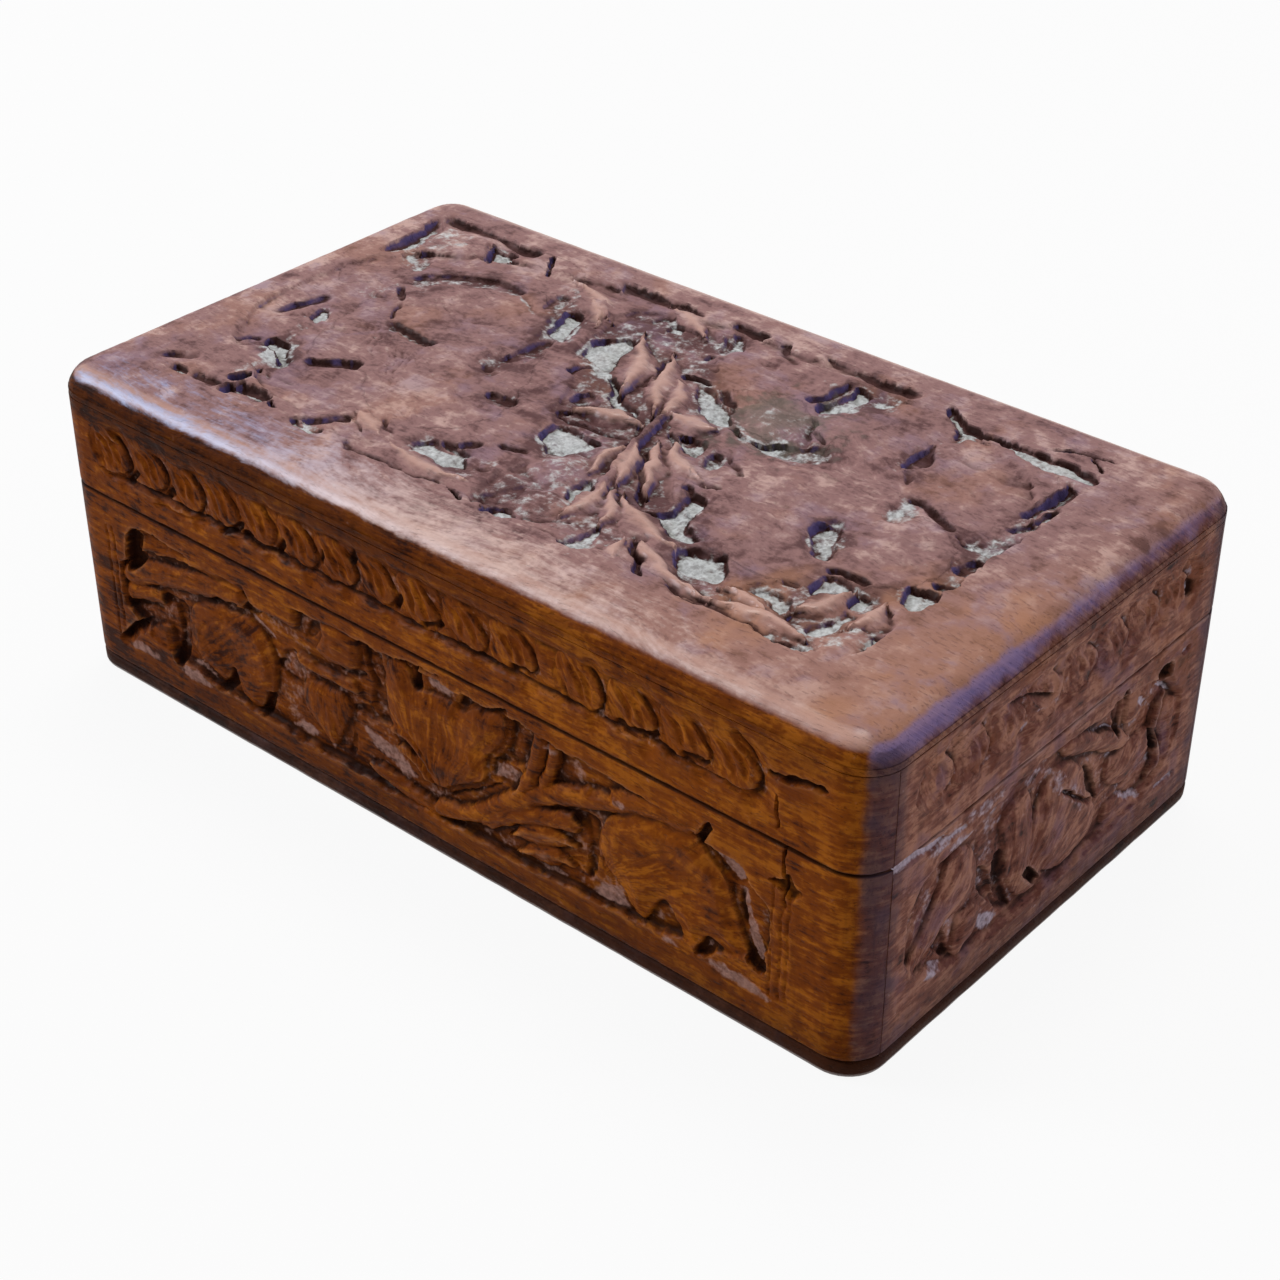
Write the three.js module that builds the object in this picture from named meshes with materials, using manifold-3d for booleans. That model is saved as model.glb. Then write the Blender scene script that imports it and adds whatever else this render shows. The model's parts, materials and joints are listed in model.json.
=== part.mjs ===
// Carved wooden trinket box with a hinged lid.
// Millimetres, +Z up, the long side along X, the front towards -Y.
// The origin is the middle of the underside, on the table.
//
// Thin boards are glued into a box, the corners and edges are rounded after the glue-up,
// and the lid is sawn off along a level line. Two small brass butt hinges are let into
// the back edge. The carved faces are sunk fields inside plain borders.

import * as THREE from 'three';
import { mergeVertices } from 'three/addons/utils/BufferGeometryUtils.js';
import Module from 'manifold-3d';

const wasm = await Module();
wasm.setup();

// Overall size of the wooden box
const boxLength = 150;
const boxDepth = 84;
const boxHeight = 52;

// Boards
const wallThickness = 5;
const baseThickness = 2.8;
const topThickness = 4.6;
const glueLine = 0.1;

// Lid
const splitHeight = 32.8;
const lidGap = 0.3;

// Rounding done after the glue-up
const cornerRadius = 6;
const topEdgeRadius = 3.6;
const baseEdgeRadius = 1.2;
const baseGroove = 0.5;
const cornerSteps = 8;
const edgeSteps = 6;

// Sunk fields of the carving
const topFieldEndBorder = 10;
const topFieldSideBorder = 10.5;
const topFieldDepth = 2;
const wallFieldEndBorder = 9.5;
const wallFieldSideBorder = 8.5;
const wallFieldLowerBorder = 3.4;
const wallFieldUpperBorder = 3.6;
const wallFieldDepth = 1.6;
const rimFieldEndBorder = 8;
const rimFieldSideBorder = 7.5;
const rimFieldLowerBorder = 4;
const rimFieldUpperBorder = 2.6;
const rimFieldDepth = 1.1;
const fieldDraft = 0.5;
const fieldCorner = 1;
const fieldCornerSteps = 2;

// Brass butt hinges
const hingeInset = 30;
const hingeLength = 20;
const leafThickness = 0.8;
const leafEdgeMargin = 1.1;
const leafFit = 0.15;
const barrelRadius = 1.5;
const barrelProud = 0.5;
const barrelBore = 0.95;
const pinClearance = 0.1;
const pinHeadRadius = 1.2;
const pinHeadLength = 0.5;
const knuckleGap = 0.25;
const middleKnuckleLength = 7;
const barrelRelief = 0.35;
const roundSteps = 24;

// Brass nails of the hinge leaves
const nailSpacing = 11;
const nailHeadRadius = 1.05;
const nailHeadHeight = 0.5;
const nailShankRadius = 0.5;
const nailLength = 7;
const nailFit = 0.12;
const nailSteps = 12;

// Levels and faces that several pieces share
const wallBottom = baseThickness + glueLine;
const wallTop = splitHeight - lidGap / 2;
const rimBottom = splitHeight + lidGap / 2;
const topBottom = boxHeight - topThickness;
const rimTop = topBottom - glueLine;
const outerX = boxLength / 2;
const outerY = boxDepth / 2;
const innerX = outerX - wallThickness;
const innerY = outerY - wallThickness;
const overshoot = 1;

// Hinge axis: along X at the parting line, just behind the back face
const axisY = outerY + barrelProud;
const pinRadius = barrelBore - pinClearance;
const leafInnerY = innerY + leafEdgeMargin;
const barrelSpace = barrelRadius + barrelRelief;
const leafShoulderY = axisY - barrelSpace;
const nailY = (leafInnerY + leafShoulderY) / 2;
const hingeCentres = [hingeInset - outerX, outerX - hingeInset];

const frontWood = new THREE.MeshStandardMaterial({ color: 0x8a4f22, roughness: 0.5, metalness: 0 });
const endWood = new THREE.MeshStandardMaterial({ color: 0x70452f, roughness: 0.55, metalness: 0 });
const topWood = new THREE.MeshStandardMaterial({ color: 0x7d5547, roughness: 0.55, metalness: 0 });
const baseWood = new THREE.MeshStandardMaterial({ color: 0x2e1a10, roughness: 0.6, metalness: 0 });
const brass = new THREE.MeshStandardMaterial({ color: 0xb08d4a, roughness: 0.35, metalness: 1 });

// Turns a three.js geometry into a solid that can be joined and cut
function solid(geometry) {
  geometry.deleteAttribute('normal');
  geometry.deleteAttribute('uv');
  const merged = mergeVertices(geometry, 1e-5);
  return new wasm.Manifold(new wasm.Mesh({
    numProp: 3,
    vertProperties: new Float32Array(merged.attributes.position.array),
    triVerts: new Uint32Array(merged.index.array),
  }));
}

// Turns a solid back into a three.js geometry
function geometryOf(body) {
  const mesh = body.getMesh();
  const geometry = new THREE.BufferGeometry();
  geometry.setAttribute('position', new THREE.BufferAttribute(mesh.vertProperties, 3));
  geometry.setIndex(new THREE.BufferAttribute(mesh.triVerts, 1));
  return geometry;
}

function piece(name, body, material) {
  const geometry = geometryOf(body);
  geometry.computeVertexNormals();
  const mesh = new THREE.Mesh(geometry, material);
  mesh.name = name;
  return mesh;
}

function block(low, high) {
  const size = high.map((value, axis) => value - low[axis]);
  const geometry = new THREE.BoxGeometry(...size);
  geometry.translate(...low.map((value, axis) => value + size[axis] / 2));
  return solid(geometry);
}

// One level of a loft: a rectangle with round corners, drawn in by inset all round
function roundedRing(halfX, halfY, radius, steps, inset, z) {
  const points = [];
  const arc = Math.max(radius - inset, 0.01);
  const centreX = halfX - inset - arc;
  const centreY = halfY - inset - arc;
  const signs = [[1, 1], [-1, 1], [-1, -1], [1, -1]];
  signs.forEach(([signX, signY], corner) => {
    for (let step = 0; step <= steps; step += 1) {
      const angle = (corner + step / steps) * Math.PI / 2;
      const x = signX * centreX + arc * Math.cos(angle);
      const y = signY * centreY + arc * Math.sin(angle);
      points.push([x, y, z]);
    }
  });
  return points;
}

// Skins a stack of rings with the same number of points, bottom ring first, and caps both ends
function loft(rings) {
  const count = rings[0].length;
  const positions = rings.flat(2);
  const index = [];
  for (let level = 0; level + 1 < rings.length; level += 1) {
    for (let i = 0; i < count; i += 1) {
      const a = level * count + i;
      const b = level * count + (i + 1) % count;
      index.push(a, b, b + count);
      index.push(a, b + count, a + count);
    }
  }
  const top = (rings.length - 1) * count;
  for (let i = 1; i + 1 < count; i += 1) {
    index.push(0, i + 1, i);
    index.push(top, top + i, top + i + 1);
  }
  const geometry = new THREE.BufferGeometry();
  geometry.setAttribute('position', new THREE.Float32BufferAttribute(positions, 3));
  geometry.setIndex(index);
  return geometry;
}

// The whole closed box as one shaped block: round base edge, groove over the base board,
// round corners and the round edge of the lid
function shapedBlock() {
  const levels = [];
  for (let step = 0; step <= edgeSteps; step += 1) {
    const angle = step / edgeSteps * Math.PI / 2;
    const inset = baseEdgeRadius * (1 - Math.sin(angle));
    levels.push([baseEdgeRadius * (1 - Math.cos(angle)), inset]);
  }
  const groove = baseThickness + glueLine / 2;
  levels.push([groove - baseGroove, 0]);
  levels.push([groove, baseGroove]);
  levels.push([groove + baseGroove, 0]);
  for (let step = 0; step <= edgeSteps; step += 1) {
    const angle = step / edgeSteps * Math.PI / 2;
    const height = boxHeight - topEdgeRadius * (1 - Math.sin(angle));
    levels.push([height, topEdgeRadius * (1 - Math.cos(angle))]);
  }
  return solid(loft(levels.map(
    ([z, inset]) => roundedRing(outerX, outerY, cornerRadius, cornerSteps, inset, z))));
}

// A cutter for a sunk field with sloping sides. It is made lying on the XY plane with its
// floor down, and stands proud of the face by overshoot so that it cuts clean through.
function fieldCutter(width, height, depth) {
  const slope = fieldDraft / depth;
  const levels = [
    [-depth, fieldDraft],
    [overshoot, -slope * overshoot],
  ];
  return loft(levels.map(([z, inset]) => roundedRing(
    width / 2, height / 2, fieldCorner, fieldCornerSteps, inset, z)));
}

// Sunk fields of the four sides of one storey of the box, between two levels
function sideFields(low, high, endBorder, sideBorder, depth) {
  const height = high - low;
  const middle = (high + low) / 2;
  const makeField = (length, turn, distance) => {
    const geometry = fieldCutter(length, height, depth);
    geometry.rotateX(Math.PI / 2);
    geometry.rotateZ(turn);
    geometry.translate(distance * Math.sin(turn), -distance * Math.cos(turn), middle);
    return solid(geometry);
  };
  const long = boxLength - 2 * endBorder;
  const short = boxDepth - 2 * sideBorder;
  return {
    front: makeField(long, 0, outerY),
    right: makeField(short, Math.PI / 2, outerX),
    back: makeField(long, Math.PI, outerY),
    left: makeField(short, -Math.PI / 2, outerX),
  };
}

// The four boards of one storey. The long boards run the full length and cover the ends
// of the short ones, so the joint lines show on the short sides.
function wallBlanks(shaped, low, high) {
  const reach = outerX + overshoot;
  const shortY = innerY - glueLine;
  const board = (from, to) => shaped.intersect(block(from, to));
  return {
    front: board([-reach, -outerY - overshoot, low], [reach, -innerY, high]),
    back: board([-reach, innerY, low], [reach, outerY + overshoot, high]),
    left: board([-reach, -shortY, low], [-innerX, shortY, high]),
    right: board([innerX, -shortY, low], [reach, shortY, high]),
  };
}

function cylinderAlongX(radius, from, to, steps) {
  const geometry = new THREE.CylinderGeometry(radius, radius, to - from, steps);
  geometry.rotateZ(Math.PI / 2);
  geometry.translate((from + to) / 2, 0, 0);
  return solid(geometry);
}

// Stretches of the barrel along X, measured from the middle of the hinge
const middleKnuckle = [[-middleKnuckleLength / 2, middleKnuckleLength / 2]];
const outerKnuckles = [
  [-hingeLength / 2, -middleKnuckleLength / 2 - knuckleGap],
  [middleKnuckleLength / 2 + knuckleGap, hingeLength / 2],
];

// Head and shank of a hinge nail, the head's flat face at the origin and the shank downwards
function nailProfile(grow) {
  return [
    [0, grow],
    [nailHeadRadius + grow, grow],
    [nailHeadRadius + grow, 0],
    [nailShankRadius + grow, -nailHeadHeight],
    [nailShankRadius + grow, nailShankRadius - nailLength - grow],
    [0, -nailLength - grow],
  ].map(([radius, height]) => new THREE.Vector2(radius, height)).reverse();
}

// A sinking for the nail is the nail itself grown by the fit; the nail has no growth
function nailSolid(grow) {
  const geometry = new THREE.LatheGeometry(nailProfile(grow), nailSteps);
  geometry.rotateX(Math.PI / 2);
  return solid(geometry);
}

// One hinge leaf about the hinge axis, with its plate under the parting line (side -1,
// on the box) or over it (side 1, on the lid). The plate stops short of the other leaf's
// knuckles. The bore is cut last, through plate and knuckles.
function hingeLeaf(side, ownKnuckles, otherKnuckles) {
  const face = side * lidGap / 2;
  const back = side * (lidGap / 2 + leafThickness);
  const low = Math.min(face, back);
  const high = Math.max(face, back);
  const half = hingeLength / 2;
  let leaf = block([-half, leafInnerY - axisY, low], [half, 0, high]);
  for (const [from, to] of otherKnuckles) {
    const start = from === -half ? from - overshoot : from - knuckleGap;
    const end = to === half ? to + overshoot : to + knuckleGap;
    leaf = leaf.subtract(block([start, -barrelSpace, -barrelSpace], [end, overshoot, barrelSpace]));
  }
  for (const [from, to] of ownKnuckles) {
    leaf = leaf.add(cylinderAlongX(barrelRadius, from, to, roundSteps));
  }
  leaf = leaf.subtract(cylinderAlongX(barrelBore, -half - overshoot, half + overshoot, roundSteps));
  for (const nail of nailPlaces(side)) {
    leaf = leaf.subtract(nail.sinking);
  }
  return leaf;
}

// Where the two nails of a leaf go, about the hinge axis
function nailPlaces(side) {
  return [-nailSpacing / 2, nailSpacing / 2].map((x) => {
    const turn = side < 0 ? 0 : 180;
    const spot = [x, nailY - axisY, side * lidGap / 2];
    const place = (body) => body.rotate([turn, 0, 0]).translate(spot);
    return { nail: place(nailSolid(0)), sinking: place(nailSolid(nailFit)) };
  });
}

function hingePin() {
  const half = hingeLength / 2 + knuckleGap;
  const profile = [
    [0, -half - pinHeadLength],
    [pinHeadRadius * 0.7, -half - pinHeadLength],
    [pinHeadRadius, -half - pinHeadLength * 0.5],
    [pinHeadRadius, -half],
    [pinRadius, -half],
    [pinRadius, half],
    [pinHeadRadius, half],
    [pinHeadRadius, half + pinHeadLength * 0.5],
    [pinHeadRadius * 0.7, half + pinHeadLength],
    [0, half + pinHeadLength],
  ].map(([radius, height]) => new THREE.Vector2(radius, height));
  const geometry = new THREE.LatheGeometry(profile, roundSteps);
  geometry.rotateZ(-Math.PI / 2);
  return solid(geometry);
}

// What the hinges take out of a back board: a shallow housing for the leaf, room for the
// barrel and the nail holes
function hingeHousing(side) {
  const half = hingeLength / 2 + leafFit;
  const depth = lidGap / 2 + leafThickness + leafFit;
  const room = hingeLength / 2 + knuckleGap + pinHeadLength + barrelRelief;
  const leaf = block(
    [-half, leafInnerY - axisY - leafFit, -depth], [half, overshoot, depth]);
  const barrel = block([-room, -barrelSpace, -barrelSpace], [room, overshoot, barrelSpace]);
  let housing = leaf.add(barrel);
  for (const nail of nailPlaces(side)) {
    housing = housing.add(nail.sinking);
  }
  return housing;
}

function cutHousings(board, side) {
  return hingeCentres.reduce(
    (body, x) => body.subtract(hingeHousing(side).translate([x, axisY, splitHeight])), board);
}

const shaped = shapedBlock();
const reach = [outerX + overshoot, outerY + overshoot];

function baseBoard() {
  return shaped.intersect(block([-reach[0], -reach[1], -overshoot], [...reach, baseThickness]));
}

function topBoard() {
  const board = shaped.intersect(
    block([-reach[0], -reach[1], topBottom], [...reach, boxHeight + overshoot]));
  const field = fieldCutter(
    boxLength - 2 * topFieldEndBorder, boxDepth - 2 * topFieldSideBorder, topFieldDepth);
  field.translate(0, 0, boxHeight);
  return board.subtract(solid(field));
}

function addStorey(group, prefix, low, high, fields, side) {
  const blanks = wallBlanks(shaped, low, high);
  const materials = { front: frontWood, back: frontWood, left: endWood, right: endWood };
  for (const [place, blank] of Object.entries(blanks)) {
    let board = blank.subtract(fields[place]);
    if (place === 'back') board = cutHousings(board, side);
    group.add(piece(`${prefix}_${place}_board`, board, materials[place]));
  }
}

function buildBox() {
  const box = new THREE.Group();
  box.add(piece('base_board', baseBoard(), baseWood));
  const fields = sideFields(
    wallBottom + wallFieldLowerBorder, wallTop - wallFieldUpperBorder,
    wallFieldEndBorder, wallFieldSideBorder, wallFieldDepth);
  addStorey(box, 'body', wallBottom, wallTop, fields, -1);
  return box;
}

function buildLid() {
  const lid = new THREE.Group();
  lid.add(piece('lid_top_board', topBoard(), topWood));
  const fields = sideFields(
    rimBottom + rimFieldLowerBorder, rimTop - rimFieldUpperBorder,
    rimFieldEndBorder, rimFieldSideBorder, rimFieldDepth);
  addStorey(lid, 'lid', rimBottom, rimTop, fields, 1);
  return lid;
}

function buildHinge(prefix, x) {
  const hinge = new THREE.Group();
  hinge.position.set(x, axisY, splitHeight);
  hinge.add(piece(`${prefix}_hinge_body_leaf`, hingeLeaf(-1, outerKnuckles, middleKnuckle), brass));
  hinge.add(piece(`${prefix}_hinge_lid_leaf`, hingeLeaf(1, middleKnuckle, outerKnuckles), brass));
  hinge.add(piece(`${prefix}_hinge_pin`, hingePin(), brass));
  nailPlaces(-1).forEach((place, index) => {
    hinge.add(piece(`${prefix}_hinge_body_nail_${index + 1}`, place.nail, brass));
  });
  nailPlaces(1).forEach((place, index) => {
    hinge.add(piece(`${prefix}_hinge_lid_nail_${index + 1}`, place.nail, brass));
  });
  return hinge;
}

const trinketBox = new THREE.Group();
trinketBox.add(buildBox());
trinketBox.add(buildLid());
trinketBox.add(buildHinge('left', hingeCentres[0]));
trinketBox.add(buildHinge('right', hingeCentres[1]));

export default trinketBox;
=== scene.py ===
# %% [markdown]
# # A carved wooden trinket box
# This lesson builds the looks of a small hinged box of red-brown hardwood. Its lid and its four
# sides carry vine leaves cut into shallow fields, and years of handling have polished the high
# spots and filled the deep ones with dust.
# The sizes, the boards and the hinge come from a CAD model that is loaded first and stays fixed.
# Blender adds what CAD leaves out: the carving itself, the grain, the wax and the wear.
# %% Load the fixed model
import json
import math

import bpy
import numpy as np
from mathutils import Matrix, Vector


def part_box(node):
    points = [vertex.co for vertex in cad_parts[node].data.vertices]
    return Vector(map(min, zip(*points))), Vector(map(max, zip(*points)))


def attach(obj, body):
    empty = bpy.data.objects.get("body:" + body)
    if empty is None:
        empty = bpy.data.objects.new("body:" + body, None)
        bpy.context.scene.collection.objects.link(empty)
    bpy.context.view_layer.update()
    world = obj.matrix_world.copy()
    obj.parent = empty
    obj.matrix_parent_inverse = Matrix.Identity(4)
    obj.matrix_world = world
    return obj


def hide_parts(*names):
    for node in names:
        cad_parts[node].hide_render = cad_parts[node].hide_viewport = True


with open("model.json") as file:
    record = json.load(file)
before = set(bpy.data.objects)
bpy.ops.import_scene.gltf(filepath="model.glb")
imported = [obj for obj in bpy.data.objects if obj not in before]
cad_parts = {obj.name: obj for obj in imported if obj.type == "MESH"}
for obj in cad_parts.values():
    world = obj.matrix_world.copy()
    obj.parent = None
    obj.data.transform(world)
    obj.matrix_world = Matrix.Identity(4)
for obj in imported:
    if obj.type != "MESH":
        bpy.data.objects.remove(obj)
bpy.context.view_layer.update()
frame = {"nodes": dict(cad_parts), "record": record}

millimetre = 0.001

# %% [markdown]
# ## Camera
# A camera in Blender is an object whose matrix says where it stands and which way it looks.
# It could be aimed with a constraint, but a matrix built from three directions also takes the
# very slight tilt of a hand-held picture. The box is seen from its front right corner.
# %% Camera
view_turn = math.radians(40.80)
view_height = math.radians(33.49)
view_tilt = math.radians(0.02)
camera_place = Vector((0.20029, -0.22825, 0.21538))

towards_camera = Vector((
    math.sin(view_turn) * math.cos(view_height),
    -math.cos(view_turn) * math.cos(view_height),
    math.sin(view_height)))
level_right = Vector((math.cos(view_turn), math.sin(view_turn), 0))
level_up = towards_camera.cross(level_right)
picture_right = math.cos(view_tilt) * level_right + math.sin(view_tilt) * level_up
picture_up = math.cos(view_tilt) * level_up - math.sin(view_tilt) * level_right

camera_data = bpy.data.cameras.new("camera")
camera_data.sensor_width = 36
camera_data.lens = 68.81
camera_data.clip_start = 0.01
camera_data.clip_end = 20
camera = bpy.data.objects.new("camera", camera_data)
turn = Matrix((picture_right, picture_up, towards_camera)).transposed()
camera.matrix_world = Matrix.Translation(camera_place) @ turn.to_4x4()
bpy.context.scene.collection.objects.link(camera)
bpy.context.scene.camera = camera
print("Camera stands", round(camera_place.length, 3), "m from the middle of the underside")

# %% [markdown]
# ## Shader arithmetic
# A material in Blender is a graph of nodes. Wiring nodes by hand in Python is long-winded, so a
# small class wraps one output socket and teaches it to add, subtract and multiply: writing
# `grain * 0.5 + dust` then adds the Math nodes for us. A second class holds the nodes of a
# material or of the world, and has a single method that adds any other kind of node.
# %% Values that change over a surface
class Value:
    """One output socket, ready for arithmetic."""

    def __init__(self, graph, socket):
        self.graph = graph
        self.socket = socket

    def maths(self, operation, first, second):
        return self.graph.node("ShaderNodeMath", {"operation": operation}, {0: first, 1: second})

    def __add__(self, other):
        return self.maths("ADD", self, other)

    def __radd__(self, other):
        return self.maths("ADD", other, self)

    def __sub__(self, other):
        return self.maths("SUBTRACT", self, other)

    def __rsub__(self, other):
        return self.maths("SUBTRACT", other, self)

    def __mul__(self, other):
        return self.maths("MULTIPLY", self, other)

    def __rmul__(self, other):
        return self.maths("MULTIPLY", other, self)


class Graph:
    """The nodes of a material or of the world."""

    def __init__(self, owner):
        owner.use_nodes = True
        self.tree = owner.node_tree

    def node(self, kind, settings=None, values=None, output=0):
        made = self.tree.nodes.new(kind)
        for key, setting in (settings or {}).items():
            setattr(made, key, setting)
        for key, value in (values or {}).items():
            self.feed(made.inputs[key], value)
        return Value(self, made.outputs[output])

    def feed(self, socket, value):
        if isinstance(value, Value):
            self.tree.links.new(value.socket, socket)
        else:
            socket.default_value = value


class Finish(Graph):
    """One material and its shader."""

    def __init__(self, name):
        self.material = bpy.data.materials.new(name)
        super().__init__(self.material)
        self.shader = self.tree.nodes["Principled BSDF"]

    def set(self, **values):
        for key, value in values.items():
            self.feed(self.shader.inputs[key.replace("_", " ")], value)


print("Shader helpers are ready")

# %% [markdown]
# ## Colours
# Blender's sockets take linear light, while the colours we read off a screen are gamma coded.
# A short function turns the one into the other, so that the lesson can name colours as we
# see them, from 0 to 255.
# %% Colours as we see them
def seen(red, green, blue):
    channels = []
    for level in (red, green, blue):
        share = level / 255
        linear = share / 12.92 if share <= 0.04045 else ((share + 0.055) / 1.055) ** 2.4
        channels.append(linear)
    return (*channels, 1)


print("A mid brown in linear light:", [round(c, 3) for c in seen(120, 70, 28)])

# %% [markdown]
# ## Floor and surround
# The box stands on a plain pale table. The white surround doesn't come from more light, which would
# bleach the wood: what the camera and mirrors see is bright, and what lights the box is dim. The
# floor adds a share of plain white to what it reflects, so that it still holds the box's shadow.
# %% Floor
floor_half = 3.0
just_below_box = -0.0002
white_in_floor = 0.92


def looked_at(graph):
    """1 for rays from the camera or from a shiny or clear surface, 0 for light that falls on things."""
    camera_ray, mirror_ray, clear_ray = (
        graph.node("ShaderNodeLightPath", output=f"Is {kind} Ray")
        for kind in ("Camera", "Glossy", "Transmission"))
    return camera_ray + mirror_ray + clear_ray


floor_mesh = bpy.data.meshes.new("table_top")
floor_mesh.from_pydata(
    [(-floor_half, -floor_half, 0), (floor_half, -floor_half, 0),
     (floor_half, floor_half, 0), (-floor_half, floor_half, 0)], [], [(0, 1, 2, 3)])
floor = bpy.data.objects.new("table_top", floor_mesh)
floor.location.z = just_below_box
bpy.context.scene.collection.objects.link(floor)

pale = Finish("pale table")
pale.set(Base_Color=seen(205, 205, 205), Roughness=0.9)
plain_white = pale.node("ShaderNodeEmission", None, {"Color": (1, 1, 1, 1), "Strength": 1.0})
mixed = pale.node("ShaderNodeMixShader", None, {
    0: looked_at(pale) * white_in_floor, 1: Value(pale, pale.shader.outputs[0]), 2: plain_white})
pale.feed(pale.tree.nodes["Material Output"].inputs["Surface"], mixed)
floor_mesh.materials.append(pale.material)
print("Floor is", 2 * floor_half, "m square")

# %% [markdown]
# ## Studio light
# Large area lamps give soft shadows and a broad gleam on rounded edges, as in a room with windows:
# a warm one above, a cool one on the left, and a faint violet one that reaches the right end
# and the walls of the cuts. A dim surround fills the shadows.
# %% World and lamps
fill_light = 0.25
mirrored_light = 0.8
world = bpy.data.worlds.new("studio")
bpy.context.scene.world = world
sky = Graph(world)
camera_ray = sky.node("ShaderNodeLightPath", output="Is Camera Ray")
dim = sky.node("ShaderNodeBackground", None, {"Color": (1, 1, 1, 1), "Strength": fill_light})
bright = sky.node("ShaderNodeBackground", None, {
    "Color": (1, 1, 1, 1), "Strength": camera_ray * (1 - mirrored_light) + mirrored_light})
either = sky.node("ShaderNodeMixShader", None, {0: looked_at(sky), 1: dim, 2: bright})
sky.feed(sky.tree.nodes["World Output"].inputs["Surface"], either)


def add_lamp(name, place, size, power, tint, aim=(0, 0, 0.03)):
    lamp_data = bpy.data.lights.new(name, "AREA")
    lamp_data.shape = "RECTANGLE"
    lamp_data.size, lamp_data.size_y = size
    lamp_data.energy = power
    lamp_data.color = tint
    lamp = bpy.data.objects.new(name, lamp_data)
    lamp.location = place
    lamp.rotation_euler = (Vector(aim) - Vector(place)).to_track_quat("-Z", "Y").to_euler()
    bpy.context.scene.collection.objects.link(lamp)


add_lamp("ceiling_lamp", (-0.25, 0.40, 1.30), (0.5, 0.5), 9.5, (1.0, 0.97, 0.93))
add_lamp("window_lamp", (-0.95, -0.62, 0.78), (0.45, 0.35), 9.5, (0.88, 0.90, 1.0))
add_lamp("right_lamp", (0.76, 0.80, 0.34), (0.4, 0.3), 2.6, (0.74, 0.70, 1.0))

bpy.context.scene.view_settings.view_transform = "Standard"
print("Three soft lamps and a grey surround light the box")

# %% [markdown]
# ## Uneven handwork
# Nothing on a hand-carved box is quite straight. To get that, we need a smooth random height that
# can be read at any point: random numbers on a lattice, blended between their neighbours. NumPy
# does this for thousands of points at once, and a fixed seed makes every run give the same box.
# %% Smooth random heights
lattice_cells = 64


def smooth_step(value):
    value = np.clip(value, 0, 1)
    return value * value * (3 - 2 * value)


def lumps(across, up, size, seed):
    """Smooth random heights from -1 to 1, about so many millimetres apart."""
    lattice = np.random.default_rng(seed).uniform(-1, 1, (lattice_cells, lattice_cells))
    a, b = across / size, up / size
    column, row = np.floor(a).astype(int), np.floor(b).astype(int)
    a, b = smooth_step(a - column), smooth_step(b - row)

    def corner(right, above):
        return lattice[(column + right) % lattice_cells, (row + above) % lattice_cells]

    lower = corner(0, 0) * (1 - a) + corner(1, 0) * a
    upper = corner(0, 1) * (1 - a) + corner(1, 1) * a
    return lower * (1 - b) + upper * b


def chopped(value):
    """From 0 to 1 with a crisp start and a soft end, like a wall cut with a chisel."""
    value = np.clip(value, 0, 1)
    return value * (2 - value)


sample = lumps(np.linspace(0, 50, 200), np.zeros(200), 4.0, 1)
print("Random heights run from", round(sample.min(), 2), "to", round(sample.max(), 2))

# %% [markdown]
# ## Measuring from an outline or a stroke
# Every cut of the carver follows either the outline of a hole or the stroke of a tool. For both we
# need to know how far each point of the face lies from a line drawn on it, and on which side.
# These two functions work that out for straight pieces of line, all points at once.
# %% Distances on the face
def rounded(path, closed):
    """Cut every corner twice, so that a few points give a flowing line."""
    near, far = 0.78, 0.22
    points = np.array(path, float)
    for _ in range(2):
        before = points if closed else points[:-1]
        after = np.roll(points, -1, 0) if closed else points[1:]
        cut = np.stack([near * before + far * after, far * before + near * after], 1).reshape(-1, 2)
        points = cut if closed else np.concatenate([points[:1], cut, points[-1:]])
    return points


def from_stroke(path, across, up):
    """Distance to the stroke, distance to its right-hand side, and how far along it we are."""
    path = np.array(path, float)
    legs = np.hypot(*(path[1:] - path[:-1]).T)
    starts = np.concatenate([[0], np.cumsum(legs)])
    nearest = np.full(across.shape, 1e9)
    right = np.zeros(across.shape)
    along = np.zeros(across.shape)
    for index, leg in enumerate(legs):
        du, dv = (path[index + 1] - path[index]) / leg
        pu = across - path[index][0]
        pv = up - path[index][1]
        share = np.clip(pu * du + pv * dv, 0, leg)
        distance = np.hypot(pu - share * du, pv - share * dv)
        closer = distance < nearest
        nearest = np.where(closer, distance, nearest)
        right = np.where(closer, pu * dv - pv * du, right)
        along = np.where(closer, (starts[index] + share) / starts[-1], along)
    return nearest, np.sign(right) * nearest, along


def inside_outline(outline, across, up):
    """Distance to the outline, above zero inside it and below zero outside."""
    outline = rounded(outline, True)
    closed = np.concatenate([outline, outline[:1]])
    distance = from_stroke(closed, across, up)[0]
    inside = np.zeros(across.shape, bool)
    for (u0, v0), (u1, v1) in zip(closed[:-1], closed[1:]):
        if v0 == v1:
            continue
        crossing = (up < v0) != (up < v1)
        inside ^= crossing & (across < u0 + (up - v0) * (u1 - u0) / (v1 - v0))
    return np.where(inside, distance, -distance)


print("Outlines and strokes can be measured")

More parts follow.
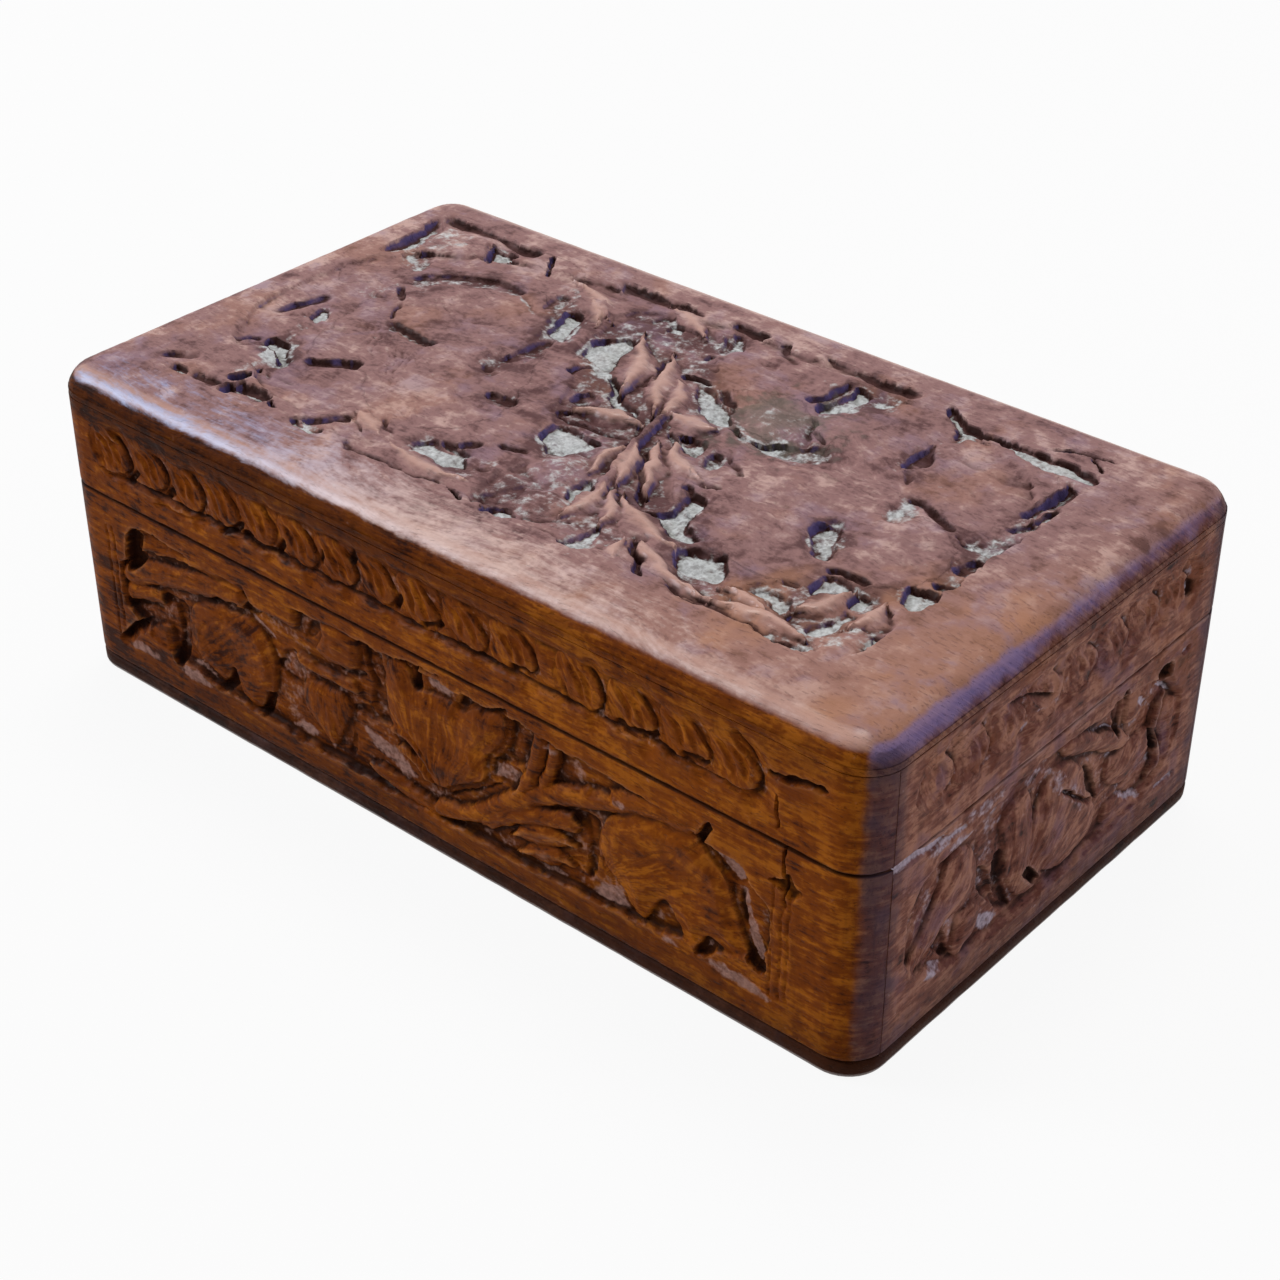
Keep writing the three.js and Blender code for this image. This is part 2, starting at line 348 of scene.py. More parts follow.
# %% [markdown]
# ## The carver's tools
# A carved face is a sheet of points with one number each: how deep the wood is cut there, in
# millimetres below the face. Sculpting by hand would not repeat, and a Boolean for each of some
# hundred cuts would be slow and fragile, so each tool here changes that number:
# - `pit` chops a hole with steep walls and a rough floor,
# - `stop_cut` cuts one steep wall and slopes gently away from it on the right of the stroke,
# - `groove` runs a round gouge or a V tool along a stroke,
# - `blade` leaves a long pointed leaf standing in sunk ground,
# - `dome` rounds a leaf, and `ripples` and `veins` run over it.
# The points are first nudged by a small random amount, so that no edge comes out ruler-straight.
# %% Carving tools
def tapered(along, taper):
    """1 in the middle of a stroke, falling to 0 at both ends."""
    return smooth_step(along / taper) * smooth_step((1 - along) / taper)


class Face:
    """A flat face being carved. Positions and depths are in millimetres."""

    def __init__(self, across, up, seed, origin, scale, wobble=0.26, easy_side=None, apron=0.0,
                 wall_width=0.3, wall_slope=0.9):
        self.across = (across - origin[0]) / scale[0]
        self.up = (up - origin[1]) / scale[1]
        self.seed = seed
        self.easy_side = easy_side
        self.apron = apron
        self.wall_width = wall_width
        self.wall_slope = wall_slope
        self.drawn_across = self.across + wobble * lumps(across, up, 2.1, seed)
        self.drawn_up = self.up + wobble * lumps(across, up, 2.1, seed + 1)
        self.drawn_across += 0.45 * wobble * lumps(across, up, 0.9, seed + 2)
        self.drawn_up += 0.45 * wobble * lumps(across, up, 0.9, seed + 3)
        self.depth = np.zeros(across.shape)
        self.dust = np.zeros(across.shape)
        self.rub_and_highlight = np.zeros(across.shape)
        self.vein_across = up.copy()
        self.vein_along = across.copy()

    def near(self, points, margin):
        """The points of the face in a frame round the given ones, and where they lie."""
        us, vs = zip(*points)
        spot = np.nonzero(
            (self.drawn_across > min(us) - margin) & (self.drawn_across < max(us) + margin)
            & (self.drawn_up > min(vs) - margin) & (self.drawn_up < max(vs) + margin))
        return spot, self.drawn_across[spot], self.drawn_up[spot]

    def within(self, outline, margin=0.1):
        spot, u, v = self.near(outline, margin)
        return spot, u, v, inside_outline(outline, u, v)

    def beside(self, path, margin):
        spot, u, v = self.near(path, margin)
        return spot, *from_stroke(rounded(path, False), u, v)

    def in_oval(self, centre, radii, turn):
        """Points round an oval, with their distance from its middle, which is 1 at its rim."""
        spot, u, v = self.near([centre], max(radii))
        u, v = u - centre[0], v - centre[1]
        a = math.radians(turn)
        return spot, np.hypot((u * math.cos(a) + v * math.sin(a)) / radii[0],
                              (v * math.cos(a) - u * math.sin(a)) / radii[1])

    def deepen(self, spot, depth):
        self.depth[spot] = np.maximum(self.depth[spot], depth)

    def keep_above(self, spot, part, level):
        """Leave wood standing up to a level, on a part of the spot."""
        self.depth[spot] = np.where(part, np.minimum(self.depth[spot], level), self.depth[spot])

    def powder(self, spot, dust):
        self.dust[spot] = np.maximum(self.dust[spot], dust)

    def sink(self, outline, depth, slope, dust=0.0):
        spot, _, _, inside = self.within(outline)
        self.deepen(spot, depth * smooth_step(inside / slope))
        self.powder(spot, dust * smooth_step((inside - slope) / 0.6))

    def stand(self, outline, top=0.1, shoulder=1.6):
        """Leave a form standing in sunk ground, with a short wall and a rounded shoulder."""
        spot, _, _, inside = self.within(outline)
        share = 0.55 * smooth_step(inside / 0.45) + 0.45 * smooth_step(inside / shoulder)
        self.keep_above(spot, inside > 0, top + (self.depth[spot] - top) * (1 - share))
        self.dust[spot] = self.dust[spot] * (1 - smooth_step(inside / 0.5))

    def dusting(self, outline, amount):
        spot, _, _, inside = self.within(outline)
        keep = 1 - smooth_step(self.rub_and_highlight[spot] * 4)
        self.powder(spot, amount * smooth_step(inside / 1.2) * keep)

    def pit(self, outline, depth=1.6, slope=0.45, dust=1.0):
        spot, u, v, inside = self.within(outline, slope + self.apron)
        inside = inside + slope * 0.3
        if self.apron:
            uneven = 0.8 + 0.5 * lumps(u, v, 2.4, self.seed + 11)
            beside = smooth_step((inside + self.apron) / self.apron) * uneven
            in_field = smooth_step(self.depth[spot] / 0.3)
            self.deepen(spot, 0.92 * beside * in_field)
            self.powder(spot, min(dust + 0.3, 0.62) * beside ** 2 * in_field)
        floor_rough = 1 + 0.12 * lumps(u, v, 0.8, self.seed + 4) + 0.12 * lumps(u, v, 1.9, self.seed + 5)
        wall = chopped(inside / slope)
        if self.easy_side is not None:
            step_across, step_up = self.easy_side
            ahead = inside_outline(outline, u + step_across, v + step_up)
            wall = wall * (0.35 + 0.65 * smooth_step((ahead + 1.0) / 1.5))
        self.deepen(spot, depth * wall * floor_rough)
        self.powder(spot, dust * smooth_step((inside - slope) / 0.35))

    def stop_cut(self, path, depth=1.0, reach=3.0, taper=0.15, dust=0.0):
        spot, distance, right, along = self.beside(path, reach + self.wall_width)
        ends = tapered(along, 2 * taper)
        slope_side = np.clip(1 - right / reach, 0, 1) ** 1.5
        wall_side = chopped(1 + right / self.wall_width)
        profile = np.where(right > 0, slope_side, wall_side)
        profile = profile * smooth_step((reach - distance) / 0.5)
        self.deepen(spot, depth * profile * ends)
        pale_part = smooth_step((profile - 0.35) / 0.3) * (right > 0.1) * ends
        self.powder(spot, dust * pale_part)

    def groove(self, path, width=1.0, depth=0.5, taper=0.2, dust=0.0):
        spot, distance, _, along = self.beside(path, width)
        ends = tapered(along, taper)
        half = width / 2 * (0.35 + 0.65 * ends)
        profile = np.clip(1 - (distance / half) ** 2, 0, 1)
        self.depth[spot] += depth * profile * ends
        self.powder(spot, dust * profile * ends)

    def ridge(self, path, width=2.0, top=0.1, ground=0.9, taper=0.15):
        """Leave a rounded bar standing, such as a stem."""
        spot, distance, _, along = self.beside(path, width)
        ends = tapered(along, taper)
        half = width / 2 * (0.4 + 0.6 * ends)
        lifted = top + (ground - top) * np.clip(distance / half, 0, 1) ** 3.2 + (1 - ends) * 0.3
        self.keep_above(spot, distance < half, lifted)
        self.dust[spot] = self.dust[spot] * smooth_step((distance - half + 0.4) / 0.4)

    def blade(self, path, width=3.0, top=0.1, fall=0.8, lean=0.0, belly=0.45):
        """A pointed leaf from the first point of the path to the last, widest at belly."""
        spot, distance, right, along = self.beside(path, width)
        swell = np.where(along < belly, along / belly, (1 - along) / (1 - belly))
        half = 0.6 * width * np.clip(smooth_step(swell) * 0.9 + 0.1 * swell, 0.02, 1)
        side = np.clip((right - lean * half) / half, -1.3, 1.3)
        on_leaf = (distance < half) & (along > 0.001) & (along < 0.999)
        keel = np.where(on_leaf, 0.95 * np.clip(1.05 - 1.1 * np.abs(side), 0, 1), 0)
        # The keel is marked as rubbed; the lighter colour this gives it is partly polish and partly a painted
        # highlight
        self.rub_and_highlight[spot] = np.where(on_leaf, keel, self.rub_and_highlight[spot])
        self.keep_above(spot, on_leaf, top + fall * (0.5 * np.abs(side) + 0.5 * np.abs(side) ** 2))
        self.dust[spot] = np.where(on_leaf, 0, self.dust[spot])

    def dome(self, centre, radii, top=0.1, fall=0.7, turn=0.0):
        spot, distance = self.in_oval(centre, radii, turn)
        self.keep_above(spot, distance < 1, top + fall * distance ** 2.5)

    def hollow(self, centre, radii, depth=0.4, turn=0.0):
        spot, distance = self.in_oval(centre, radii, turn)
        self.depth[spot] += depth * smooth_step(1 - distance)

    def ripples(self, outline, direction, spacing=1.0, depth=0.12, bend=1.2):
        spot, u, v, inside = self.within(outline)
        a = math.radians(direction)
        crosswise = v * math.cos(a) - u * math.sin(a) + bend * lumps(u, v, 5.0, self.seed + 6)
        wave = 0.5 + 0.5 * np.cos(crosswise * 2 * math.pi / spacing)
        patchy = 0.6 + 0.4 * lumps(u, v, 3.0, self.seed + 7)
        self.depth[spot] += depth * wave ** 3 * smooth_step(inside / 2.0) * patchy

    def veins(self, outline, centre, spread=16.0):
        """Note which way the fine cuts of a leaf run: away from a centre, so far apart in mm."""
        spot, u, v, inside = self.within(outline)
        du, dv = u - centre[0], v - centre[1]
        turn = np.arctan2(dv, du) * spread + 0.8 * lumps(u, v, 6.0, self.seed + 12)
        self.vein_across[spot] = np.where(inside > 0, turn + centre[0], self.vein_across[spot])
        self.vein_along[spot] = np.where(inside > 0, np.hypot(du, dv), self.vein_along[spot])

    def tool_marks(self, inside, amount=0.05):
        """The small facets that a gouge leaves, softened by years of handling."""
        facets = np.abs(lumps(self.across, self.up * 1.5, 1.4, self.seed + 9))
        waves = lumps(self.across, self.up, 6.0, self.seed + 10)
        self.depth += inside * amount * (facets + 0.8 * waves + 0.8)


print("Tools:", [name for name in vars(Face) if not name.startswith("_")])

# %% [markdown]
# ## The drawing on the lid
# Two broad leaves fill the lid, one on each side of a stem with pointed leaves. The carver left the
# leaves almost level with the border, sank narrow pits between them and undercut their edges with
# short stop cuts. The outlines below follow the traditional drawing, in millimetres from a point
# near the middle of the lid, and hold only as many corners as each cut needs.
# %% Lid, left leaf
def carve_lid_left(lid):
    lid.stop_cut([(-65.5, 15.5), (-66.5, 19), (-66.7, 25), (-68.5, 33)], 1.3, 4.5, dust=0.8)
    lid.stop_cut([(-68.5, 33.2), (-58, 33.0), (-45, 32.4)], 1.1, 3.0, taper=0.05)
    lid.pit([(-55, 30.2), (-50.5, 30.8), (-47.8, 28.8), (-49, 26.6), (-52, 26.2)], 1.6)
    lid.groove([(-55.7, 30.8), (-50.3, 24.8)], 1.1, 0.8)
    lid.pit([(-64, 21.5), (-60, 21), (-57.5, 17), (-60, 16), (-63.5, 18)], 0.9, 0.9, 0.8)
    lid.groove([(-43.9, 33.6), (-41.5, 30.5), (-39.3, 27.8)], 1.1, 1.1)
    lid.stop_cut([(-52, 22.5), (-46, 26), (-41, 26.5), (-36, 25)], 0.6, 3.5)
    lid.stop_cut([(-57, 11.5), (-54, 15.5), (-50, 19), (-44.5, 21.8), (-37, 21.2)], 1.35, 7.0, 0.06, dust=0.5)
    lid.stop_cut([(-40.5, 21.4), (-36.5, 19.6), (-33, 17.5), (-31, 15.8)], 0.8, 2.5, dust=0.7)
    lid.groove([(-55.5, 10.5), (-52.5, 7.8), (-50.3, 6.0)], 1.4, 0.9)
    lid.stop_cut([(-58, 2.8), (-56, 5.2), (-52, 6.8), (-50, 6)], 0.8, 2.5)
    lid.groove([(-50, 6), (-49.3, 3.2), (-47.8, 0.8)], 0.8, 0.6)
    lid.stop_cut([(-48.6, 0.9), (-44, 0.0), (-40, -0.4), (-35.5, -0.2)], 1.5, 3.6, 0.1, dust=0.55)
    lid.stop_cut([(-64.8, -9.8), (-62.8, -5.5), (-60.8, -0.5), (-58.5, 1.5)], 1.5, 3.4, dust=0.1)
    lid.pit([(-59.3, -3), (-57.2, -2.6), (-54.8, -7), (-55.6, -8.4), (-58.6, -6.8)], 1.5)
    lid.stop_cut([(-58.3, -7.6), (-56.4, -9.2), (-54.6, -11.8)], 0.9, 1.6)
    lid.pit([(-58.2, -15.5), (-54, -13.4), (-51.6, -16.8), (-49.3, -18.6), (-50.3, -21.2), (-53.5, -20.6),
             (-56.2, -18)], 1.65)
    lid.pit([(-51.6, -17.6), (-49.8, -17.6), (-48.8, -20), (-50.6, -20.4)], 2.0, 0.4, 0)
    lid.stop_cut([(-61.5, -19.6), (-60, -17), (-57.4, -15.6)], 1.1, 2.2)
    lid.stop_cut([(-47.9, -17.4), (-44.6, -15), (-42.2, -12.8), (-39.4, -11.8)], 1.7, 4.2, 0.08)
    lid.groove([(-52.2, -21.8), (-50.4, -24.4)], 1.1, 1.0)
    lid.stop_cut([(-50.4, -22.6), (-48.6, -23.9), (-46, -24.6)], 0.7, 1.5, dust=0.4)
    lid.pit([(-52, -28.8), (-51, -25.6), (-48.8, -26), (-49.4, -29)], 1.5, 0.5, 0)
    lid.pit([(-50.4, -29.6), (-48, -29.4), (-47.2, -32), (-50, -32)], 1.3)
    lid.stop_cut([(-49.2, -28.6), (-45.5, -28.9), (-41.8, -29)], 1.6, 2.8, 0.06, dust=0.9)
    lid.groove([(-41.6, -29.2), (-38.6, -30.8)], 1.0, 0.7)
    lid.stop_cut([(-66.2, -31.2), (-63.2, -28.6), (-59.6, -26)], 0.9, 3.0)
    lid.pit([(-61.2, -30.6), (-58.2, -30.2), (-56.2, -32.2), (-60.2, -32.8)], 1.3)
    lid.stop_cut([(-57.4, -30.4), (-54.5, -31), (-50.4, -31.2)], 1.2, 1.6, 0.08)
    lid.stop_cut([(-33.6, -31), (-31.6, -27.4), (-28.4, -24)], 1.6, 3.2, 0.06)
    lid.pit([(-35, -30.4), (-33, -31), (-28.6, -30.6), (-28.6, -32.6), (-34.4, -32.6)], 1.2)
    lid.pit([(-20.6, -5.4), (-14.6, -5.2), (-15, -7.4), (-19.6, -8)], 1.5, 0.6, 0)
    lid.pit([(-26, 12.4), (-23.6, 12), (-23.8, 5), (-24, 0), (-24.8, -2.2), (-27.6, -1.4), (-26.8, 3)],
            1.5, 0.7, 0)
    lid.dome((-56, -22), (5.6, 5.0), 0.05, 0.65, 20)
    lid.hollow((-41, 10), (10, 7), 0.25, 10)
    lid.hollow((-44, -21), (9, 5), 0.3, -15)
    lid.ripples([(-52, -4), (-46, 3), (-34, -2), (-28, -10), (-33, -17), (-40, -11), (-46, -10)],
                -62, 1.25, 0.32)
    lid.ripples([(-50, 12), (-44, 17), (-34, 14), (-30, 4), (-38, 2), (-47, 6)], -38, 1.5, 0.2)
    lid.ripples([(-38, -14), (-28, -4), (-18, -8), (-14, -18), (-26, -22)], -30, 1.6, 0.18)
    lid.veins([(-53, -8), (-57, 8), (-52, 20), (-40, 25), (-28, 18), (-20, 4), (-12, -14), (-24, -25),
               (-34, -18), (-40, -12), (-48, -18)], (-64, -12), 26.0)
    lid.veins([(-68, 8), (-62, 24), (-50, 33), (-36, 33), (-30, 24), (-52, 22), (-62, 4)], (-84, 0), 44.0)


# %% [markdown]
# The stem in the middle is the liveliest part of the lid: long pointed leaves hang from it on both
# sides like feathers. Here the ground is sunk first, and `blade` then leaves each leaf standing.
# %% Lid, stem with pointed leaves
def carve_lid_stem(lid):
    lid.sink([(-22, 30), (-12, 33), (-4, 30), (2, 20), (13, 14), (16, 4), (8, 0), (18, -8), (22, -12),
              (27, -22), (22, -31), (2, -31), (-4, -25), (-1, -15), (-7, -8), (-12, 0), (-18, 10),
              (-23, 20)], 0.95, 1.5, 0.40)
    lid.pit([(-20.4, 16.8), (-16.8, 19.8), (-14, 20.6), (-9.4, 14), (-8.2, 10.4), (-13, 9.4),
             (-17.6, 11)], 1.8)
    lid.pit([(-20, 16.2), (-17, 17.8), (-14.6, 14.4), (-17.4, 12.6)], 2.05, 0.5, 0.1)
    lid.stop_cut([(-21.4, 25.4), (-19, 22.8), (-17, 20.8)], 0.9, 1.8)
    lid.stop_cut([(-15.2, 5.4), (-14.4, 9.2), (-11, 9.4)], 1.5, 3.0, 0.08)
    lid.pit([(-13, 8.4), (-9.6, 8.6), (-5.6, 3.2), (0.8, 1.2), (1.4, 3.4), (-3.6, 5.4), (-7, 9.4)], 1.7)
    lid.pit([(-10.8, 1.6), (-9.2, 4.6), (-5.4, 2.4), (-6.6, -0.4), (-8.8, -0.6)], 1.6, 0.5, 0)
    lid.pit([(-2.6, 16.6), (0.4, 17.8), (3.6, 17.6), (3.2, 16), (-0.6, 15)], 1.8, 0.45, 0)
    lid.pit([(0.6, 15.4), (3.2, 16.2), (8, 13.6), (11.6, 12.2), (14, 8.4), (11.4, 7), (7, 9.6)], 1.6)
    lid.groove([(4.6, 16.4), (8.2, 14.6), (11.6, 12.2)], 1.2, 0.7)
    lid.pit([(7.2, 3.2), (10, 1.4), (13, 3.4), (15.4, 1), (15.6, -2.6), (12.6, -2.2), (9, 0.2)], 1.6)
    lid.pit([(6.4, 3.4), (10, 1.8), (12.6, 1.2), (13.6, 3.4), (10, 3.6)], 1.9, 0.4, 0)
    lid.pit([(-6.2, -6.8), (-4, -6.2), (3.6, -6.8), (2.6, -10), (-0.4, -14.6), (-2, -13.8),
             (-6.2, -10.4)], 1.85)
    lid.stop_cut([(-9, -4.6), (-4, -4.4), (1, -3.8), (4.8, -3.2)], 1.7, 3.2, 0.06)
    lid.pit([(-9.2, -3.6), (-7.6, -1.4), (-6.4, -4.2), (-8, -5.2)], 1.6, 0.4, 0)
    lid.pit([(9, -15.2), (11.4, -18.6), (11.8, -21.6), (8.4, -21.8), (7.8, -18)], 1.7)
    lid.pit([(4.2, -20.2), (6.2, -21.8), (5, -26), (3.4, -29.6), (0.8, -31.4), (-0.6, -28.6),
             (1.4, -23.6)], 1.35, 1.1, 0)
    lid.pit([(5.2, -27.4), (8.6, -31), (7, -32.2), (2.4, -32)], 1.5)
    lid.pit([(18.4, -23), (20.2, -27), (20.4, -31.2), (16, -31.4), (17.6, -27.4)], 1.6)
    lid.pit([(21.2, -8.8), (25.2, -9.4), (25.4, -15.6), (30, -17.6), (31, -20), (26, -19.6), (20, -18.6),
             (18.2, -17), (22.2, -14.8)], 1.8)
    lid.stop_cut([(19.2, -9.8), (21.2, -8.8), (22.4, -11.4), (21.8, -14.4)], 1.5, 2.0, 0.1)
    lid.blade([(-4.2, 4.6), (-6.4, 8.6), (-9.4, 15), (-15.6, 23.2)], 5.6, 0.0, 0.8, 0.1)
    lid.blade([(3.4, 2.4), (-0.6, 9.4), (-4.6, 17), (-8.6, 21.6)], 4.4, 0.1, 0.75, -0.1)
    lid.blade([(4, 4), (3.4, 9), (-1.6, 15)], 3.6, 0.1, 0.75)
    lid.blade([(4, 6), (9.4, 5.4), (13.6, 6.4)], 5.4, 0.05, 0.8)
    lid.blade([(5, 0.4), (1, 0.8), (-4.8, -0.6), (-8, -3.2)], 4.6, 0.05, 0.8)
    lid.blade([(7, -3.4), (9.4, -9), (12.6, -15.4)], 4.2, 0.0, 0.8)
    lid.blade([(8, -0.6), (12, -6), (17.8, -15)], 4.4, 0.0, 0.85, 0.1)
    lid.blade([(9.6, 0.2), (15, -4.8), (22, -7)], 4.8, 0.05, 0.8)
    lid.blade([(6.4, -4.2), (5.4, -10), (8.2, -16)], 3.4, 0.1, 0.8)
    lid.dome((3.4, -16), (4.8, 4.4), 0.05, 0.7, 30)
    lid.blade([(11, -14.6), (12.6, -20), (12, -27)], 4.2, 0.0, 0.8)
    lid.blade([(12.6, -15.4), (16.4, -20), (18.6, -25.4)], 4.0, 0.0, 0.8)
    lid.blade([(14, -15), (20, -19.8), (27, -21.8), (31, -23)], 4.8, 0.05, 0.8)
    lid.dome((7.8, -24.6), (3.6, 3.2), 0.1, 0.7)
    lid.stop_cut([(6.8, -29.6), (10.6, -28.2), (13.4, -26.2), (15.4, -25.4)], 1.4, 2.6, 0.08)
    lid.ridge([(4.4, 6), (5.2, 0), (7.2, -6), (10.4, -14), (12, -20)], 1.6, 0.0, 0.7)
    lid.groove([(8.6, -3.6), (12, -9), (16.6, -14.2), (18.8, -16.8)], 1.1, 0.9)
    lid.groove([(3, 1.4), (5, -2.2), (6.2, -6.2)], 0.8, 0.45)
    lid.groove([(-7.8, 19.6), (-5.4, 16), (-3.4, 11.8)], 1.2, 0.8)
    lid.pit([(-17.6, -25), (-16.2, -21.6), (-12.8, -21.2), (-9.4, -22), (-5.8, -24.4), (-9, -25.8),
             (-15, -26.2)], 1.6)
    lid.stop_cut([(-15.4, -21), (-11.6, -21.2), (-8.4, -22.6)], 1.8, 1.6, 0.1)
    lid.stop_cut([(-12.2, -21.6), (-10.4, -18.8), (-8.4, -17.6)], 1.3, 1.8)
    lid.stop_cut([(-8.4, -17.2), (-5, -16.6), (-2.2, -15.4)], 1.3, 1.8)
    lid.stop_cut([(-7, -22.8), (-4.6, -23.2), (-2.6, -22.6)], 0.9, 1.5)
    lid.stop_cut([(-26, -30.8), (-16, -31.2), (-9, -30.4), (-4.4, -29.8)], 1.0, 1.4, 0.08)
    lid.groove([(-4.6, -30), (-2.6, -31.4), (0, -32)], 0.8, 0.7)
    lid.blade([(-21, -26.6), (-12, -28.6), (-1.6, -27)], 4.4, 0.05, 0.6)
    lid.blade([(-31.4, -22.6), (-26, -24), (-20.6, -27)], 4.6, 0.05, 0.55)
    lid.groove([(-31, -22), (-28.6, -25), (-23.4, -27.4)], 0.8, 0.6)
    lid.groove([(-26, -21.6), (-22.4, -24.2), (-20, -25.2)], 1.2, 0.6)


# %% [markdown]
# The right leaf is cut like the left one. Two grooves in the far corner and a row of pits along the
# right border close the field. At the end we note where dust has stayed on the ground around
# the deepest cuts.
# %% Lid, right leaf and the upper edge
def carve_lid_right(lid):
    lid.pit([(-34.2, 25.2), (-31.6, 24.4), (-29.4, 20.2), (-31.8, 17.8), (-34, 21)], 1.3, 0.7, 0)
    lid.pit([(-29.4, 21.4), (-26, 22.2), (-24.8, 18), (-24.2, 14.4), (-22.8, 12.6), (-25.8, 12.8),
             (-28.6, 16)], 1.75)
    lid.blade([(-36, 29.4), (-28, 27.4), (-21, 22)], 5.6, 0.1, 0.7)
    lid.blade([(-30, 26.4), (-25.6, 24.4), (-21.6, 18.4)], 4.0, 0.2, 0.7)
    lid.stop_cut([(-30, 32.8), (-22, 32.9), (-10, 32.6)], 0.9, 2.2, 0.1)
    lid.stop_cut([(-17.6, 26.4), (-16.6, 29.4), (-14.2, 30)], 1.5, 2.8, 0.1)
    lid.pit([(-14.8, 29), (-11.4, 28.8), (-10.4, 26), (-13.4, 25)], 1.5)
    lid.stop_cut([(-11.2, 28.4), (-9.6, 26.6), (-8, 24.8)], 0.9, 1.4)
    lid.blade([(-18, 32), (-12, 31), (-6.4, 27.4)], 3.6, 0.1, 0.5)
    lid.stop_cut([(-6.4, 33.2), (-2, 33.4), (1.6, 33)], 1.2, 1.8, 0.1)
    lid.pit([(-4.4, 32), (-1.6, 32), (0, 28), (-1.8, 24.6), (-3, 27.4)], 1.3, 0.6, 0.8)
    lid.stop_cut([(-5, 31.2), (-3.4, 28), (-2.4, 25)], 1.3, 1.4, 0.1)
    lid.groove([(-2.6, 24.6), (-2.6, 21.8)], 1.2, 0.8)
    lid.stop_cut([(4.4, 34), (5.4, 31.6), (9.4, 30)], 0.9, 3.0, 0.1)
    lid.stop_cut([(3.6, 25.2), (6.4, 27.2), (9, 26.6)], 0.8, 2.4)
    lid.stop_cut([(11, 33.2), (18, 32.8), (24.5, 32.4), (30, 32.6)], 1.1, 2.2, 0.08)
    lid.stop_cut([(16.8, 20.8), (18.6, 24.6), (19.4, 30.2)], 1.6, 2.4, 0.08)
    lid.pit([(20, 30), (23.6, 30.4), (24.4, 26), (22.6, 20), (18.2, 20.6), (20.8, 25)], 1.7)
    lid.pit([(24, 30), (28.6, 30), (27.6, 26.6), (24.4, 26.4)], 0.9, 0.8, 0.7)
    lid.pit([(12.6, 7.6), (20, 6.6), (27, 6.4), (30, 9.4), (27.4, 12.6), (24, 9.6), (14, 8.8)], 1.5, 0.6, 0.7)
    lid.stop_cut([(21, 19.2), (23, 14.8), (25.8, 9.2)], 1.2, 2.4, 0.1, dust=0.4)
    lid.stop_cut([(27.2, 13), (28.4, 10.8), (31, 8.8)], 1.1, 1.6, 0.1)
    lid.groove([(23.8, 15.4), (27.4, 12.4)], 1.2, 0.7)
    lid.dome((16.4, 13.4), (7.0, 5.2), 0.1, 0.5, -35)
    lid.pit([(34.4, 33), (36, 32.6), (40, 29.8), (46, 29.6), (53, 29.6), (58, 30), (62.4, 29.4), (62.6, 26.2),
             (57, 26.4), (54, 26), (50, 27.6), (44, 28), (38.6, 28.6), (35.6, 30.8)], 0.85, 0.5, 1.0)
    lid.groove([(52, 30.6), (55.6, 33.2), (62, 34)], 0.9, 0.7)
    lid.groove([(58, 33.2), (62, 30.4)], 0.9, 0.8)
    lid.pit([(38.4, 29.4), (40.6, 29.2), (40.4, 26), (39.4, 26)], 1.5, 0.5, 0.1)
    lid.pit([(38.6, 23.6), (39.6, 23.8), (41, 20), (42, 16.6), (40, 14.4), (38, 15.2), (38.4, 19)],
            1.5, 0.7, 0.15)
    lid.groove([(40, 15), (42.6, 11.2)], 1.2, 0.6)
    lid.stop_cut([(58.8, 13.4), (60.2, 19), (60.8, 25.6)], 1.4, 2.4, 0.1, dust=0.8)
    lid.stop_cut([(59.2, 9.4), (60.6, 12), (62.2, 14.2)], 1.3, 2.4, 0.1, dust=0.2)
    lid.pit([(60.4, 16.6), (62.8, 19), (62.8, 14.4), (61.4, 13.6)], 1.5)
    lid.pit([(57.4, 4.4), (60.4, 7.6), (62.8, 8.6), (62.8, 2), (60, 3.2)], 1.3, 0.6, 0.7)
    lid.pit([(59, -1.8), (60.6, 2.4), (62.8, 0.6), (62.9, -3), (60.6, -3)], 1.6, 0.5, 0.1)
    lid.pit([(59.4, -5.6), (62.8, -5), (62.8, -8), (60.2, -8)], 1.7, 0.5, 0.1)
    lid.pit([(57.4, -9), (60.4, -8.4), (63, -9), (63, -15.6), (60, -14.4), (58.4, -12)], 1.75)
    lid.pit([(44.2, 7.8), (47, 8.6), (47.6, 6), (47.6, 3), (46, 2.6)], 1.0, 0.8, 0.8)
    lid.stop_cut([(44.4, 7), (46.6, 8.8), (50, 7), (55, 4.6)], 1.5, 1.8, 0.08)
    lid.groove([(55, 4.8), (58.4, 4)], 0.7, 0.4)
    lid.groove([(41, 22), (48, 21), (55, 21), (58.4, 22)], 1.6, 0.35)
    lid.pit([(39.6, -4.6), (41, -2.8), (42.6, -3), (44, -6), (46.8, -12.8), (44, -11.6), (41, -8.4),
             (39.4, -6.4)], 1.8, 0.6, 0.9)
    lid.pit([(40.6, -3.8), (42.6, -3.4), (43, -6), (41, -6.6)], 2.0, 0.5, 0.0)
    lid.stop_cut([(17.4, 2.4), (20.4, 0.6), (22.8, -1.2), (25.4, -2.4)], 1.1, 1.8, 0.1)
    lid.pit([(16, 1.4), (18.4, 1.4), (19.4, -2), (16.8, -2.4)], 1.5, 0.5, 0.4)
    lid.stop_cut([(19.6, -8), (22.6, -6.8), (25.8, -6.6)], 1.2, 1.6)
    lid.pit([(30, -20.4), (33.4, -19.8), (35.6, -19), (39.6, -24.6), (36, -25.8), (32, -25.6),
             (29.8, -23)], 1.65)
    lid.stop_cut([(29.4, -24.2), (30.2, -21.4), (33, -19.6), (35.4, -20)], 1.4, 2.2, 0.1)
